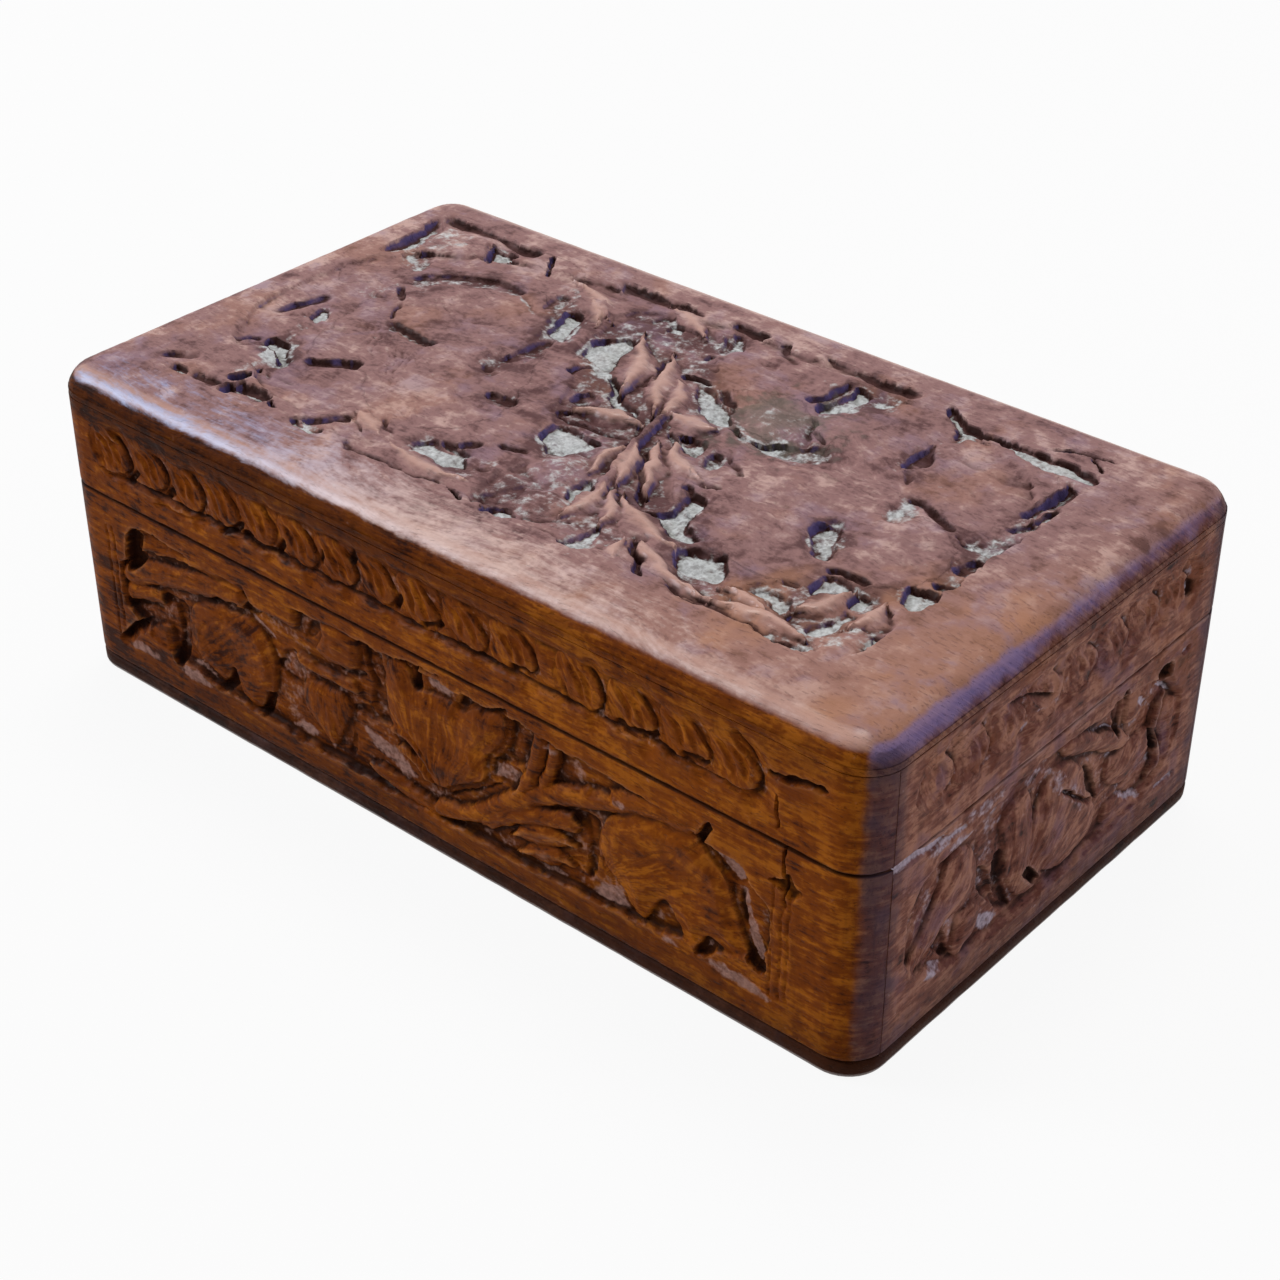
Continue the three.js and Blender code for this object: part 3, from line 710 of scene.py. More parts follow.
    lid.pit([(42, -22.4), (44.6, -20.8), (47.4, -21.6), (49.4, -22), (50.2, -26), (48, -26.4),
             (46.6, -23.8), (43.2, -23.8)], 1.6)
    lid.stop_cut([(43.8, -18.8), (46.4, -18.4), (48.4, -18.8)], 1.2, 1.6, dust=0.7)
    lid.pit([(47.4, -14.6), (50, -13.4), (54, -14.6), (56.8, -14.8), (56.2, -19), (54, -18.2),
             (52.6, -16.8), (50.4, -19.6), (48.4, -18.6)], 1.7)
    lid.stop_cut([(47, -13.8), (50, -12.4), (54.6, -13)], 1.5, 1.5, 0.08)
    lid.sink([(41, -24), (44, -18), (50, -17), (57, -14.6), (63, -17), (63, -31), (40, -31.4),
              (26, -28), (22, -24), (30, -25)], 0.95, 1.2, 0.46)
    lid.pit([(55, -18.6), (57.6, -20.4), (57, -25.6), (55.8, -28), (53.2, -24.6), (55.6, -21.6)], 1.5)
    lid.pit([(51, -29.8), (57, -29.4), (58, -31.4), (52, -31.6)], 1.5)
    lid.pit([(60.6, -21.6), (63, -21.4), (63, -25.8), (61.2, -24.4)], 1.5)
    lid.blade([(54, -14.8), (52.4, -20), (50.4, -25.4)], 4.8, 0.0, 0.8)
    lid.blade([(58.4, -14.6), (59.2, -19.4), (57.6, -23.6)], 4.2, 0.0, 0.8)
    lid.dome((60.2, -27), (3.4, 4.8), 0.0, 0.85, 10)
    lid.blade([(23, -23.4), (29, -26), (34, -28.2), (45, -29.4)], 3.4, 0.0, 0.85, 0.1, 0.3)
    lid.blade([(40, -29.6), (48, -26.8), (56.6, -28.8)], 4.6, 0.0, 0.7)
    lid.blade([(38.6, -25.4), (43, -25), (49.6, -26.6)], 3.2, 0.1, 0.7)
    lid.groove([(22.8, -23), (26.6, -27), (31, -31)], 1.4, 1.0)
    lid.stop_cut([(33, -29.6), (37, -30.4), (43, -30.2)], 1.1, 1.2, 0.1)
    lid.blade([(22.6, -24), (23.4, -28), (25.6, -31)], 2.6, 0.05, 0.8)
    lid.hollow((49, 16), (9, 5), 0.22, 5)
    lid.hollow((33, 22), (7, 6), 0.22, 20)
    lid.hollow((50, -3), (8, 5), 0.2, -20)
    lid.ripples([(26, 4), (38, 0), (40, -12), (30, -16), (24, -6)], -35, 1.4, 0.2)
    lid.ripples([(30, 20), (37, 26), (37, 12), (46, 8), (56, 18), (58, 24), (42, 20)], -8, 1.7, 0.17)
    lid.ripples([(46, -2), (58, 2), (58, -8), (48, -10)], -40, 1.5, 0.1)
    lid.veins([(16, -4), (24, 6), (40, 6), (58, 4), (60, -9), (46, -20), (30, -19), (20, -10)],
              (10, -8), 24.0)
    lid.veins([(26, 12), (34, 30), (52, 29), (60, 24), (58, 5), (44, 9), (32, 7)], (20, 24), 22.0)
    lid.veins([(6, 18), (18, 22), (28, 8), (8, 10)], (0, 26), 20.0)
    for outline, amount in (
            ([(11, 9), (24, 9), (26, 12), (22, 19), (14, 18)], 0.30),
            ([(-67.5, 31.4), (-57, 31.6), (-56, 24), (-60, 18), (-67, 17)], 0.42),
            ([(-37, 28), (-31, 28), (-24.4, 15), (-26, 11.5), (-31.4, 18)], 0.46),
            ([(-8, 32), (0.4, 32.4), (0, 26), (-3, 21), (-7.6, 23)], 0.42),
            ([(-20, 30), (-12, 31), (-9, 26), (-15, 24)], 0.34),
            ([(58.4, 27), (62.8, 27), (62.8, -15), (59, -15), (60, 0), (58.2, 10)], 0.46),
            ([(-60, -8), (-55, -8), (-49, -18), (-50, -29), (-54, -29), (-53.6, -19)], 0.40),
            ([(16, 31), (30, 31), (28, 25), (18, 20)], 0.34),
            ([(0.6, 2.6), (3, -14), (-1, -16), (-9, -5), (-14, 4), (-9, 9)], 0.30),
            ([(-60, 2), (-52, 4), (-49, 12), (-54, 16), (-59, 9)], 0.30),
            ([(-18, -31), (-18, -20), (-4, -18), (-2, -22), (-4, -31)], 0.30)):
        lid.dusting(outline, amount)


# %% [markdown]
# ## The drawing on the long sides
# The front shows a vine: a curled leaf on the left, a broad leaf in the middle over the bent stem, and
# a third leaf on the right. The hidden back gets the same drawing the other way round, as carvers
# of such boxes did. Here `up` is the height over the table.
# %% Long side of the box
def carve_long_side(side):
    side.sink([(-65.8, 5.9), (62.6, 5.9), (62.6, 28.9), (-65.8, 28.9)], 1.25, 0.7, 0.34)
    # plain wood that comes down from the border
    side.stand([(-58, 29.6), (-35, 29.6), (-31, 26.4), (-38, 26.4), (-46, 25.6), (-52, 26.6)], 0.0, 2.2)
    side.stand([(-38, 29.6), (-24.4, 29.6), (-25.4, 24.2), (-30, 24.6), (-35.6, 24.6)], 0.0, 1.2)
    side.stand([(34, 29.6), (51.6, 29.6), (50, 27.4), (44, 27.2), (38.6, 26.8)], 0.0, 1.4)
    side.stand([(50, 29.6), (63.6, 29.6), (62.8, 26.4), (56, 26.2), (52.6, 26.6)], 0.0, 1.4)
    # the curl at the left end
    side.stand([(-65.8, 18.2), (-60.6, 18.8), (-56.4, 18.4), (-55.6, 16.4), (-60, 15.6), (-65.8, 13.6)],
               0.2, 1.4)
    side.stand([(-61.6, 8), (-60.4, 11.6), (-57.6, 13.6), (-55.2, 13.4), (-54.8, 8.6), (-58, 7.4)], 0.15, 1.8)
    side.ridge([(-66, 18.4), (-60, 20.6), (-55, 22.2), (-49, 23.2), (-43, 24.8), (-36, 25.2)],
               4.0, 0.0, 0.9, 0.06)
    # first broad leaf
    side.stand([(-51, 18.6), (-47.6, 20.8), (-42, 22.2), (-37, 22.4), (-33.2, 21), (-31, 17.8), (-31.4, 13),
                (-33, 10.6), (-34.4, 7.6), (-37, 6.6), (-40, 8), (-41.4, 11.4), (-43, 8.6), (-45.6, 8.8),
                (-51, 10.8)], 0.1, 2.6)
    side.groove([(-48.6, 21.4), (-42, 22.9), (-37.6, 24)], 0.9, 0.7)
    # curled leaves between the first and the middle one
    side.stand([(-21, 29), (-12.8, 29), (-12.4, 24), (-14, 22.4), (-18, 21.8), (-22.4, 22.8), (-20.6, 26)],
               0.1, 1.6)
    side.dome((-17.4, 25.4), (3.2, 2.6), 0.0, 0.9)
    side.stand([(-27, 21.6), (-20, 20.6), (-12.8, 21.2), (-12.6, 18.4), (-20, 18.6), (-26, 18.6)], 0.1, 1.3)
    side.stand([(-25, 17.8), (-15.4, 17.8), (-15.2, 14.4), (-17.4, 11.4), (-19.2, 7.4), (-23, 10), (-26, 12)],
               0.15, 2.2)
    # broad leaf in the middle
    side.stand([(-7.4, 19), (-7.8, 24), (-6.8, 28.6), (-2.6, 28.8), (-1.6, 25.4), (0.4, 26), (5.8, 26.6),
                (7.2, 25.4), (9.6, 27.2), (12.6, 28.6), (16.4, 28.6), (16, 24.4), (13.4, 21.4), (11.6, 19.8),
                (12.4, 16.8), (9.8, 14.8), (5.6, 12.4), (2.4, 10.2), (-0.6, 12.4), (-2.6, 15.4),
                (-6.6, 16.8)], 0.05, 2.8)
    side.ridge([(-7, 16.4), (-4, 17.4), (-1, 16), (2.4, 12.2)], 2.0, 0.0, 0.9)
    side.ridge([(-6, 13.8), (-2.4, 14), (1, 11)], 1.8, 0.1, 0.9)
    side.ridge([(-12, 8.4), (-4, 7.4), (4, 6.8)], 2.4, 0.1, 0.9)
    # leaves under the branch
    side.ridge([(9.6, 9.4), (16, 12.4), (22, 15.4), (29.4, 17.2)], 3.2, 0.05, 0.9, 0.08)
    side.blade([(16, 9.4), (22, 12.6), (29.8, 13.8)], 4.0, 0.1, 0.9)
    side.blade([(17, 7.6), (23, 9.6), (29.6, 10.4)], 3.0, 0.2, 0.8)
    # broad leaf at the right end
    side.stand([(33, 19.6), (36, 22.8), (40, 24.8), (45, 25.4), (49.8, 25.8), (51.8, 23.6), (54.8, 22),
                (56, 19.6), (56.6, 16.4), (58.6, 13), (60.6, 10.4), (56, 9.4), (53.2, 10.6), (51.2, 9.2),
                (50, 7.2), (47.8, 8.2), (46.2, 10.4), (44.4, 12.6), (42.6, 10.4), (41.4, 7.2), (38.8, 7.8),
                (37.4, 11), (34.4, 12), (32.8, 14.6)], 0.05, 3.0)
    side.veins([(-52, 9), (-50, 21), (-38, 24), (-30, 18), (-33, 6), (-42, 7)], (-54, 6), 16.0)
    side.veins([(-9, 16), (-8, 30), (17, 30), (14, 19), (8, 12), (2, 9)], (2, 6), 14.0)
    side.veins([(32, 13), (36, 25), (51, 27), (58, 16), (62, 9), (46, 6), (37, 7)], (31, 9), 18.0)
    side.veins([(-27, 18), (-14, 18), (-17, 7), (-26, 11)], (-20, 26), 12.0)
    side.veins([(-66, 12), (-60, 22), (-36, 27), (-36, 23), (-56, 13)], (-90, 10), 40.0)
    side.veins([(8, 8), (20, 17), (50, 28), (52, 25), (30, 12), (16, 6)], (-20, -6), 46.0)
    side.hollow((-41, 14.5), (8, 6), 0.45)
    side.hollow((5, 20), (7, 5), 0.35, 30)
    side.hollow((47, 17), (8, 6), 0.4)
    # the stem and its branch lie over the leaves
    side.ridge([(1.4, 7.4), (8, 8.8), (12.6, 11.4), (17.6, 16), (21, 21.4), (23, 29.4)], 3.0, 0.0, 0.9, 0.04)
    side.ridge([(11, 8.8), (17, 13), (22.4, 19), (24.8, 25), (25, 29.4)], 2.2, 0.1, 0.9, 0.08)
    side.ridge([(13, 11), (17, 14.6), (21, 18.2), (25, 20.2), (30, 21.8), (34.6, 23.4), (38.6, 25.2),
                (44, 26.2), (50.4, 26.6)], 3.4, 0.0, 0.9, 0.05)
    # deep cuts between the forms
    side.pit([(-61.6, 28), (-59.6, 27.8), (-60, 24), (-60.4, 21.8), (-64.6, 19.4), (-63.4, 25)], 2.3, 0.8, 0)
    side.stop_cut([(-61, 28.4), (-55, 28), (-48, 27.6)], 1.2, 4.0, 0.1)
    side.pit([(-57, 18.6), (-51, 18.4), (-51.4, 15), (-52.4, 8), (-55, 7.8), (-53.8, 16.4), (-56.6, 17)],
             2.3, 0.8, 0)
    side.groove([(-66, 13.4), (-61, 15.2), (-57, 15.2)], 1.4, 0.6)
    side.stop_cut([(-68.4, 6.3), (-65, 10), (-62, 12), (-58.2, 12.9)], 1.7, 2.2, 0.1)
    side.dusting([(-67, 5.6), (-58, 5.6), (-57, 7.6), (-62, 8.8), (-65, 8.6)], 0.9)
    side.dusting([(-54.6, 5.8), (-45, 5.8), (-45.4, 9), (-49.6, 10), (-53.4, 9.4)], 0.95)
    side.dusting([(-49, 22.8), (-56, 20.4), (-55, 22.4), (-50, 23.8)], 0.5)
    side.groove([(-45, 7), (-42.2, 8.4), (-41, 12.4)], 1.7, 1.3)
    side.pit([(-38, 23.2), (-35, 26), (-33, 25), (-35, 22.6)], 1.9, 0.7, 0)
    side.groove([(-37, 22.8), (-33.6, 21.8), (-31, 20)], 0.9, 0.2, 0.2, 0.9)
    side.pit([(-31.8, 16), (-30.4, 19.4), (-27, 21), (-25, 17.6), (-25.4, 15), (-28.6, 14.6)], 2.1, 0.8, 0.6)
    side.groove([(-34.8, 6.4), (-33.6, 8.6), (-33, 11.6)], 1.6, 1.2)
    side.dusting([(-31.4, 6.6), (-28, 8.6), (-25, 9.8), (-22.4, 8.6), (-23, 6.4)], 0.95)
    side.pit([(-25.4, 23), (-23.8, 26), (-22.2, 28.6), (-20.4, 27.8), (-22, 24.6)], 1.9, 0.7, 0.25)
    side.groove([(-17.8, 22), (-14.6, 21.8), (-11.4, 23)], 1.2, 0.9)
    side.pit([(-17.4, 7.6), (-15.8, 12), (-14.4, 10.8), (-15.4, 7)], 1.9, 0.7, 0)
    side.pit([(-12.3, 28.8), (-9, 28.8), (-7.4, 24), (-8, 17.4), (-6.2, 15.9), (-15.4, 15.2), (-15.2, 16.9),
              (-11.6, 17.6), (-10.6, 22.6), (-12.2, 25)], 2.4, 0.8, 0.0)
    side.dusting([(-14.6, 14.8), (-10, 14.6), (-5, 12.6), (-0.8, 9.8), (-4, 8), (-8, 9.4), (-13, 11.2)], 0.95)
    side.stop_cut([(-5.6, 28.6), (0, 29.6), (4.8, 29.6)], 1.5, 1.7, 0.1)
    side.groove([(-1.3, 29.4), (-1, 25)], 1.5, 1.4)
    side.dusting([(-0.2, 29), (7, 28.6), (6.4, 26.4), (0.4, 25.8)], 0.9)
    side.pit([(6.2, 25.6), (8.4, 29.2), (10.8, 28.8), (9, 26.6)], 2.0, 0.7, 0)
    side.stop_cut([(10.4, 27.4), (13.6, 28.6), (17.2, 30.2)], 1.6, 2.0, 0.1, dust=0.3)
    side.pit([(16.6, 29), (20.8, 29), (20.4, 24), (17.7, 20.6), (11.6, 19.2), (14.8, 22), (16.5, 25)],
             2.4, 0.8, 0)
    side.pit([(12.2, 20), (15.4, 21), (19, 20), (17.8, 17.4), (12.4, 16.4)], 2.0, 0.8, 0.8)
    side.stop_cut([(2.4, 9.4), (6, 11.5), (10, 13.8), (16, 17.6)], 1.9, 2.0, 0.08)
    side.dusting([(22.6, 28.2), (26.8, 28.2), (26.6, 26.2), (22.8, 25.8)], 0.95)
    side.stop_cut([(30.2, 23.8), (33, 24.6), (36, 25.6)], 1.5, 1.6)
    side.dusting([(35, 26), (39, 25.6), (39, 23.4), (35.4, 23.4)], 0.8)
    side.pit([(27.6, 18.8), (32.6, 19.9), (32.8, 17), (31.8, 8.8), (29.6, 9), (30.8, 16.4), (28, 18)],
             2.2, 0.8, 0)
    side.dusting([(19, 12.6), (21.8, 12), (24, 8.9), (28.6, 8.6), (27, 6.2), (21, 6.2)], 0.7)
    side.dusting([(29.8, 6.2), (32.4, 9.8), (36.6, 11.2), (39, 8), (38, 6.2)], 0.95)
    side.dusting([(43.8, 6.2), (44.6, 9.2), (48.4, 7.6), (48, 6.2)], 0.9)
    side.pit([(42.8, 8.2), (43.6, 12.4), (45.6, 11.2), (44.6, 7.6)], 1.3, 0.9, 0.4)
    side.dusting([(51.2, 6), (53, 9.4), (58, 9.2), (61, 8.4), (64, 7.6), (64, 5.8)], 0.95)
    side.pit([(50.2, 7.6), (51.6, 11.4), (54.4, 10.4), (52.2, 7.8)], 1.2, 0.9, 0.5)
    side.groove([(50.1, 24.2), (51, 26), (52.4, 29)], 1.5, 1.4)
    side.pit([(50.4, 24.8), (54, 25.4), (59, 24.6), (58, 21.6), (56.2, 20.4), (54, 22.4)], 1.8, 0.7, 0.95)
    side.pit([(56, 21.8), (58.8, 21.4), (59.8, 17), (62, 13), (61.8, 9.6), (58.8, 11), (57.4, 15.4),
              (56.8, 18)], 1.5, 0.9, 0.85)
    side.groove([(57.6, 21), (57, 18), (58.2, 15)], 1.1, 0.7)
    for across in (-68, -66.6, 62.8, 64.2, 65.3):
        side.groove([(across, 7), (across + 0.2, 27)], 0.45, 0.1, 0.05)
    # a knot-like bruise and a crack beside it
    side.pit([(61.6, 25.4), (64.2, 26.2), (65, 28), (65.8, 26.2), (67.8, 25.8), (66.2, 24.9), (65.8, 23.4),
              (64.4, 24.5)], 0.7, 0.6, 0)
    side.groove([(64.4, 32.3), (64.2, 28), (64.6, 22)], 0.4, 0.5, 0.1)


# %% [markdown]
# ## The drawing on the short sides
# Between two curled leaves stands a ridged leaf like an open fan, with deep triangles cut beside it.
# Dust has caught in the low spots, and the upper edge is chipped beside the front corner.
# %% Short side of the box
def carve_short_side(side):
    side.sink([(-33.6, 6.2), (33.8, 6.2), (33.8, 29.6), (-33.6, 29.6)], 1.05, 1.4, 0.3)
    side.stand([(-10, 30.4), (2, 30.4), (14, 30.4), (16, 27), (8, 27.6), (0, 28.6), (-8, 28.4)], 0.0, 1.4)
    side.ridge([(-33, 28.6), (-27, 27.4), (-22, 27), (-16, 28.8), (-9, 28.8)], 3.0, 0.0, 0.8)
    side.dusting([(-26, 28.2), (-22, 28.6), (-17, 27.4), (-20, 25.8), (-25, 26)], 0.9)
    side.dusting([(-14, 25), (-9, 25.4), (-8, 23), (-13, 23)], 0.8)
    # leaf at the left end, with the deep triangles under it
    side.stand([(-32.6, 13), (-28.8, 16), (-26, 20), (-24.6, 25), (-20, 25.6), (-16.6, 22), (-16.4, 17),
                (-20, 14.6), (-23, 15), (-26.4, 12.6), (-31, 11)], 0.05, 2.8)
    side.stand([(-20.4, 14), (-16.4, 14.8), (-14.4, 12.4), (-16, 9), (-20, 7.4), (-22, 9.4)], 0.1, 2.0)
    side.stand([(-12.4, 24), (-10.6, 20), (-9.4, 13.6), (-6.4, 8.4), (-1, 7.6), (0.6, 9.4), (-3, 13.6),
                (-3.4, 20), (-4.6, 25.6), (-8.6, 26)], 0.05, 2.6)
    # ridged fan leaf in the middle
    side.stand([(-4, 17), (-3, 22), (0, 25.6), (5, 25.2), (9, 21.4), (12.6, 15.8), (14, 11), (12, 8.4),
                (6, 7.4), (0.6, 8.8), (-3, 12.4)], 0.0, 3.2)
    side.veins([(-5, 12), (-4, 26), (10, 24), (16, 10), (6, 6)], (-6, 5), 15.0)
    for step in range(8):
        across = 1.6 + 1.25 * step
        side.groove([(across, 21.6 - 0.9 * step), (across + 3.4, 19.6 - 0.9 * step)], 0.9, 0.4)
    side.dusting([(-1, 25.4), (3, 24), (10, 16), (8, 14.6), (2, 20), (-2, 23)], 0.42)
    side.ridge([(2, 28), (9, 25.4), (14, 23), (20, 20.2)], 3.2, 0.0, 0.9, 0.1)
    # curled leaves at the right end
    side.stand([(14.6, 19.4), (19.6, 19.4), (25.6, 19.8), (27.6, 17), (26.8, 14.4), (22, 12.4), (18, 13.4),
                (15, 15.6)], 0.1, 2.4)
    side.stand([(29.4, 22), (34, 21), (34, 9.4), (29.6, 9.4), (30.4, 14.4), (28.6, 18)], 0.1, 2.2)
    side.stand([(16, 11.6), (20, 11.6), (26.6, 8.6), (26, 6.8), (18, 6.8), (15.4, 8.6)], 0.2, 1.8)
    side.stand([(18.6, 28.6), (25.4, 27.8), (26, 24.4), (22, 22.4), (18.8, 22.6)], 0.1, 2.0)
    side.ridge([(29.2, 23.4), (27, 20.8), (26.6, 18), (28.8, 14.8), (29.4, 12.4), (27, 10.4)], 1.8, 0.0, 0.9)
    side.veins([(-34, 11), (-28, 27), (-16, 26), (-16, 14), (-26, 10)], (-35, 5), 16.0)
    side.veins([(-14, 24), (-4, 27), (-2, 14), (-8, 7)], (-8, 0), 18.0)
    side.veins([(14, 14), (15, 21), (28, 21), (28, 12)], (8, 10), 14.0)
    side.veins([(-34, 24), (-34, 30), (34, 30), (34, 23), (10, 25)], (-80, 12), 60.0)
    # deep cuts
    side.pit([(-16.4, 19), (-13.6, 18.8), (-12.2, 14.6), (-11.6, 12.6), (-6.4, 7.2), (-9.6, 8.8), (-14, 13),
              (-15.6, 15.8)], 2.4, 0.8, 0)
    side.pit([(-12.1, 19), (-10.2, 19), (-9.6, 13.2), (-6.2, 7.4), (-8.6, 8.6), (-12.2, 13.4)], 2.4, 0.7, 0)
    side.pit([(-26.2, 12.4), (-23.4, 14.4), (-21.2, 8.8), (-23, 9.4)], 2.2, 0.7, 0)
    side.dusting([(-29.8, 8.6), (-26.6, 11.4), (-22, 9), (-25, 7.4)], 1.0)
    side.pit([(-6, 12.8), (-4.2, 13.2), (0, 8.4), (-1.6, 8.4)], 2.0, 0.6, 0)
    side.dusting([(-17.6, 13.6), (-14.6, 11.4), (-8, 8.2), (-10, 7), (-14, 7.2), (-15.6, 9.6)], 1.0)
    side.pit([(8.7, 21.2), (10.8, 21), (14.8, 13), (12.4, 14.4), (9.4, 18.6)], 2.2, 0.8, 0)
    side.pit([(15.4, 26), (16.4, 29.6), (18.2, 29.4), (18.4, 22.6), (16.6, 22.4)], 2.0, 0.7, 0)
    side.groove([(11, 26.2), (14, 25), (18, 22.4)], 1.0, 0.4, 0.2, 0.9)
    side.groove([(21, 26.4), (24.8, 23.6)], 1.6, 0.4, 0.2, 0.95)
    side.pit([(25.4, 28.4), (30, 28.4), (29.4, 25.2), (27.2, 25.8)], 1.9, 0.7, 0)
    side.groove([(26.8, 25.8), (29, 24.4), (32.4, 22.2)], 1.2, 0.3, 0.2, 0.85)
    side.pit([(25.6, 18.8), (27.2, 18.8), (28.4, 14.2), (26.4, 15.6)], 2.0, 0.6, 0)
    side.groove([(18.6, 12), (22, 10), (26.4, 7.8)], 1.6, 0.3, 0.2, 0.8)
    side.groove([(28.8, 7.6), (34.8, 7.4)], 1.4, 0.3, 0.1, 0.95)
    side.groove([(31.6, 28.6), (34.2, 28.6)], 1.0, 0.3, 0.2, 0.95)
    for outline, amount in (
            ([(-31, 30), (-20, 31.4), (-11, 31), (-12, 28), (-22, 28), (-30, 27)], 0.56),
            ([(-6, 28.4), (0, 27.4), (6, 22.4), (10, 17), (8, 13.4), (3, 19.4), (-2, 23.6),
              (-7, 25.4)], 0.52),
            ([(9, 29.4), (16, 26), (14, 25), (9, 28)], 0.5),
            ([(-16, 26), (-10, 27), (-10, 23.6), (-15, 23)], 0.36)):
        side.dusting(outline, amount)
    # worn and chipped upper edge beside the front corner
    side.groove([(-44, 31.5), (-40, 31.4), (-36, 31.1), (-31, 30.5), (-25, 29.9)], 1.6, 0.5, 0.1, 1.3)
    side.groove([(-28, 29.6), (-24, 28.8), (-20, 28.9)], 1.2, 0.3, 0.2, 0.9)


# %% [markdown]
# ## The bands round the lid
# The lid's sides carry a running band of overlapping lobes, like a row of petals laid over each
# other. The places are listed, and sine waves vary the lobes' heights and lean a little, as the
# carver's hand did. Each lobe stands in sunk ground and gets one curved stop cut on its right,
# a shorter one on its left, and two gouge strokes in between.
# %% Bands round the lid
def carve_lobe(band, centre, low, high, lean):
    tall = high - low
    edge = [(centre + 0.2, low - 0.1), (centre + 2.9, low + 0.1 * tall), (centre + 3.9, low + 0.42 * tall),
            (centre + 2.2 + lean, high - 0.28 * tall), (centre - 0.6 + lean, high)]
    band.stop_cut(edge, 0.85 + 0.2 * lean, 3.4, 0.12, 0.35)
    band.stop_cut([(centre - 3.4, high - 0.5), (centre - 4.2, low + 0.5 * tall), (centre - 1.2, low + 0.1)],
                  0.45, 1.6, 0.2)
    for stroke, cut in ((-1.5 + lean, 0.34), (0.5, 0.26 + 0.1 * lean)):
        band.groove([(centre + stroke - 1.8, high - 1.2), (centre + stroke + 0.5, low + 0.6 * tall),
                     (centre + stroke + 1.2, low + 0.16 * tall)], 1.3, cut, 0.3)


def carve_lobes(band, lobes):
    """Each lobe is given by its centre, its lowest and highest level, its lean and its depth."""
    for centre, low, high, lean, top in lobes:
        band.stand([(centre - 5, high - 0.6), (centre - 1, high + 0.2), (centre + 3, high - 2),
                    (centre + 4.4, low + 3), (centre + 3.2, low + 0.3), (centre + 0.4, low - 0.3),
                    (centre - 2.6, low + 1.2), (centre - 4.8, low + 3.4)], top, 2.6)
    for centre, low, high, lean, top in lobes:
        carve_lobe(band, centre, low, high, lean)
    for centre, *_ in lobes:
        band.veins([(centre - 5, 36), (centre - 5, 44), (centre + 4, 44), (centre + 4, 36)],
                   (centre - 12, 54), 15.0)


def carve_long_band(band):
    band.sink([(-68.6, 35.4), (62, 35.4), (62, 44.2), (-68.6, 44.2)], 0.62, 1.2)
    band.sink([(-68.6, 35.4), (62, 35.4), (62, 37.2), (-68.6, 37.2)], 0.95, 0.9)
    centres = (-65.2, -56.6, -48.2, -40.4, -32.2, -23.6, -15.6, -7.8, 0.9, 10, 18.8, 31, 40.2, 49.2, 57.6)
    carve_lobes(band, [
        (centre, 36.3 + 0.3 * math.sin(number * 2.1), 43.5 + 0.3 * math.cos(number * 1.7),
         0.5 * math.sin(number * 1.3), 0.08 + 0.06 * math.sin(number * 3.1))
        for number, centre in enumerate(centres)])
    band.stand([(22, 43), (27.4, 42.4), (28, 37.2), (24, 36.6), (22.8, 39)], 0.1, 2.0)
    for stroke in (
            [(-62.8, 35.4), (-59.4, 38.6)], [(-53.6, 36), (-51, 39)],
            [(-41.4, 35.4), (-38.4, 36.4), (-35.6, 38.6)], [(-36.6, 36.6), (-33.6, 36.8)],
            [(-28.8, 36), (-26.2, 39.6)], [(0.8, 36.4), (5.4, 38.6)], [(17.4, 36.8), (21.8, 37.8)],
            [(39.2, 36.8), (44.8, 37.8)], [(47.6, 36.8), (52.8, 37.6)], [(-4.6, 36.8), (-3, 39.6)],
            [(-19.4, 38), (-18.4, 41)], [(-13.2, 40.8), (-11.4, 43)]):
        band.groove(stroke, 1.4, 0.8)
    for stroke in ([(-68, 35.7), (-56, 35.9), (-43, 36.2)], [(-34, 36.6), (-26, 36.4)],
                   [(8, 36.6), (16, 36.4)], [(36, 36.8), (48, 36.6)]):
        band.groove(stroke, 0.9, 0.5, 0.1)
    band.stop_cut([(56.8, 45), (59.4, 42.6), (61.8, 39.2)], 1.0, 1.6)
    band.groove([(-57, 34.3), (-49, 34.9), (-41, 36)], 0.9, 0.35)
    band.groove([(61.6, 40.4), (66, 41.4), (72, 42.6)], 1.2, 0.9, 0.1)
    band.groove([(64.2, 38.4), (64.2, 33.4)], 0.4, 0.4, 0.1)


def carve_short_band(band):
    band.sink([(-34, 35.6), (34, 35.6), (34, 44.2), (-34, 44.2)], 0.5, 1.8)
    carve_lobes(band, [
        (centre, 36.5 + 0.3 * math.cos(number * 1.9), 43.4 + 0.3 * math.sin(number * 2.3),
         0.5 * math.cos(number), 0.08 + 0.06 * math.cos(number * 2.7))
        for number, centre in enumerate((-28.4, -20.4, -11.8, -3, 5.4, 13.4, 21.2, 29))])
    band.stop_cut([(-14.4, 43.2), (-11, 42), (-8.6, 41.6), (-4, 39.6), (0, 37.6)], 1.2, 2.4, 0.1)
    band.dusting([(-9.6, 38.6), (-6, 39), (0.4, 36.8), (-5, 36.6)], 0.8)
    band.pit([(31, 40.2), (33, 40.6), (34.6, 37.6), (32, 36.6)], 1.2, 0.6, 0.6)


print("Drawings for the long side, the short side and the two lid bands")
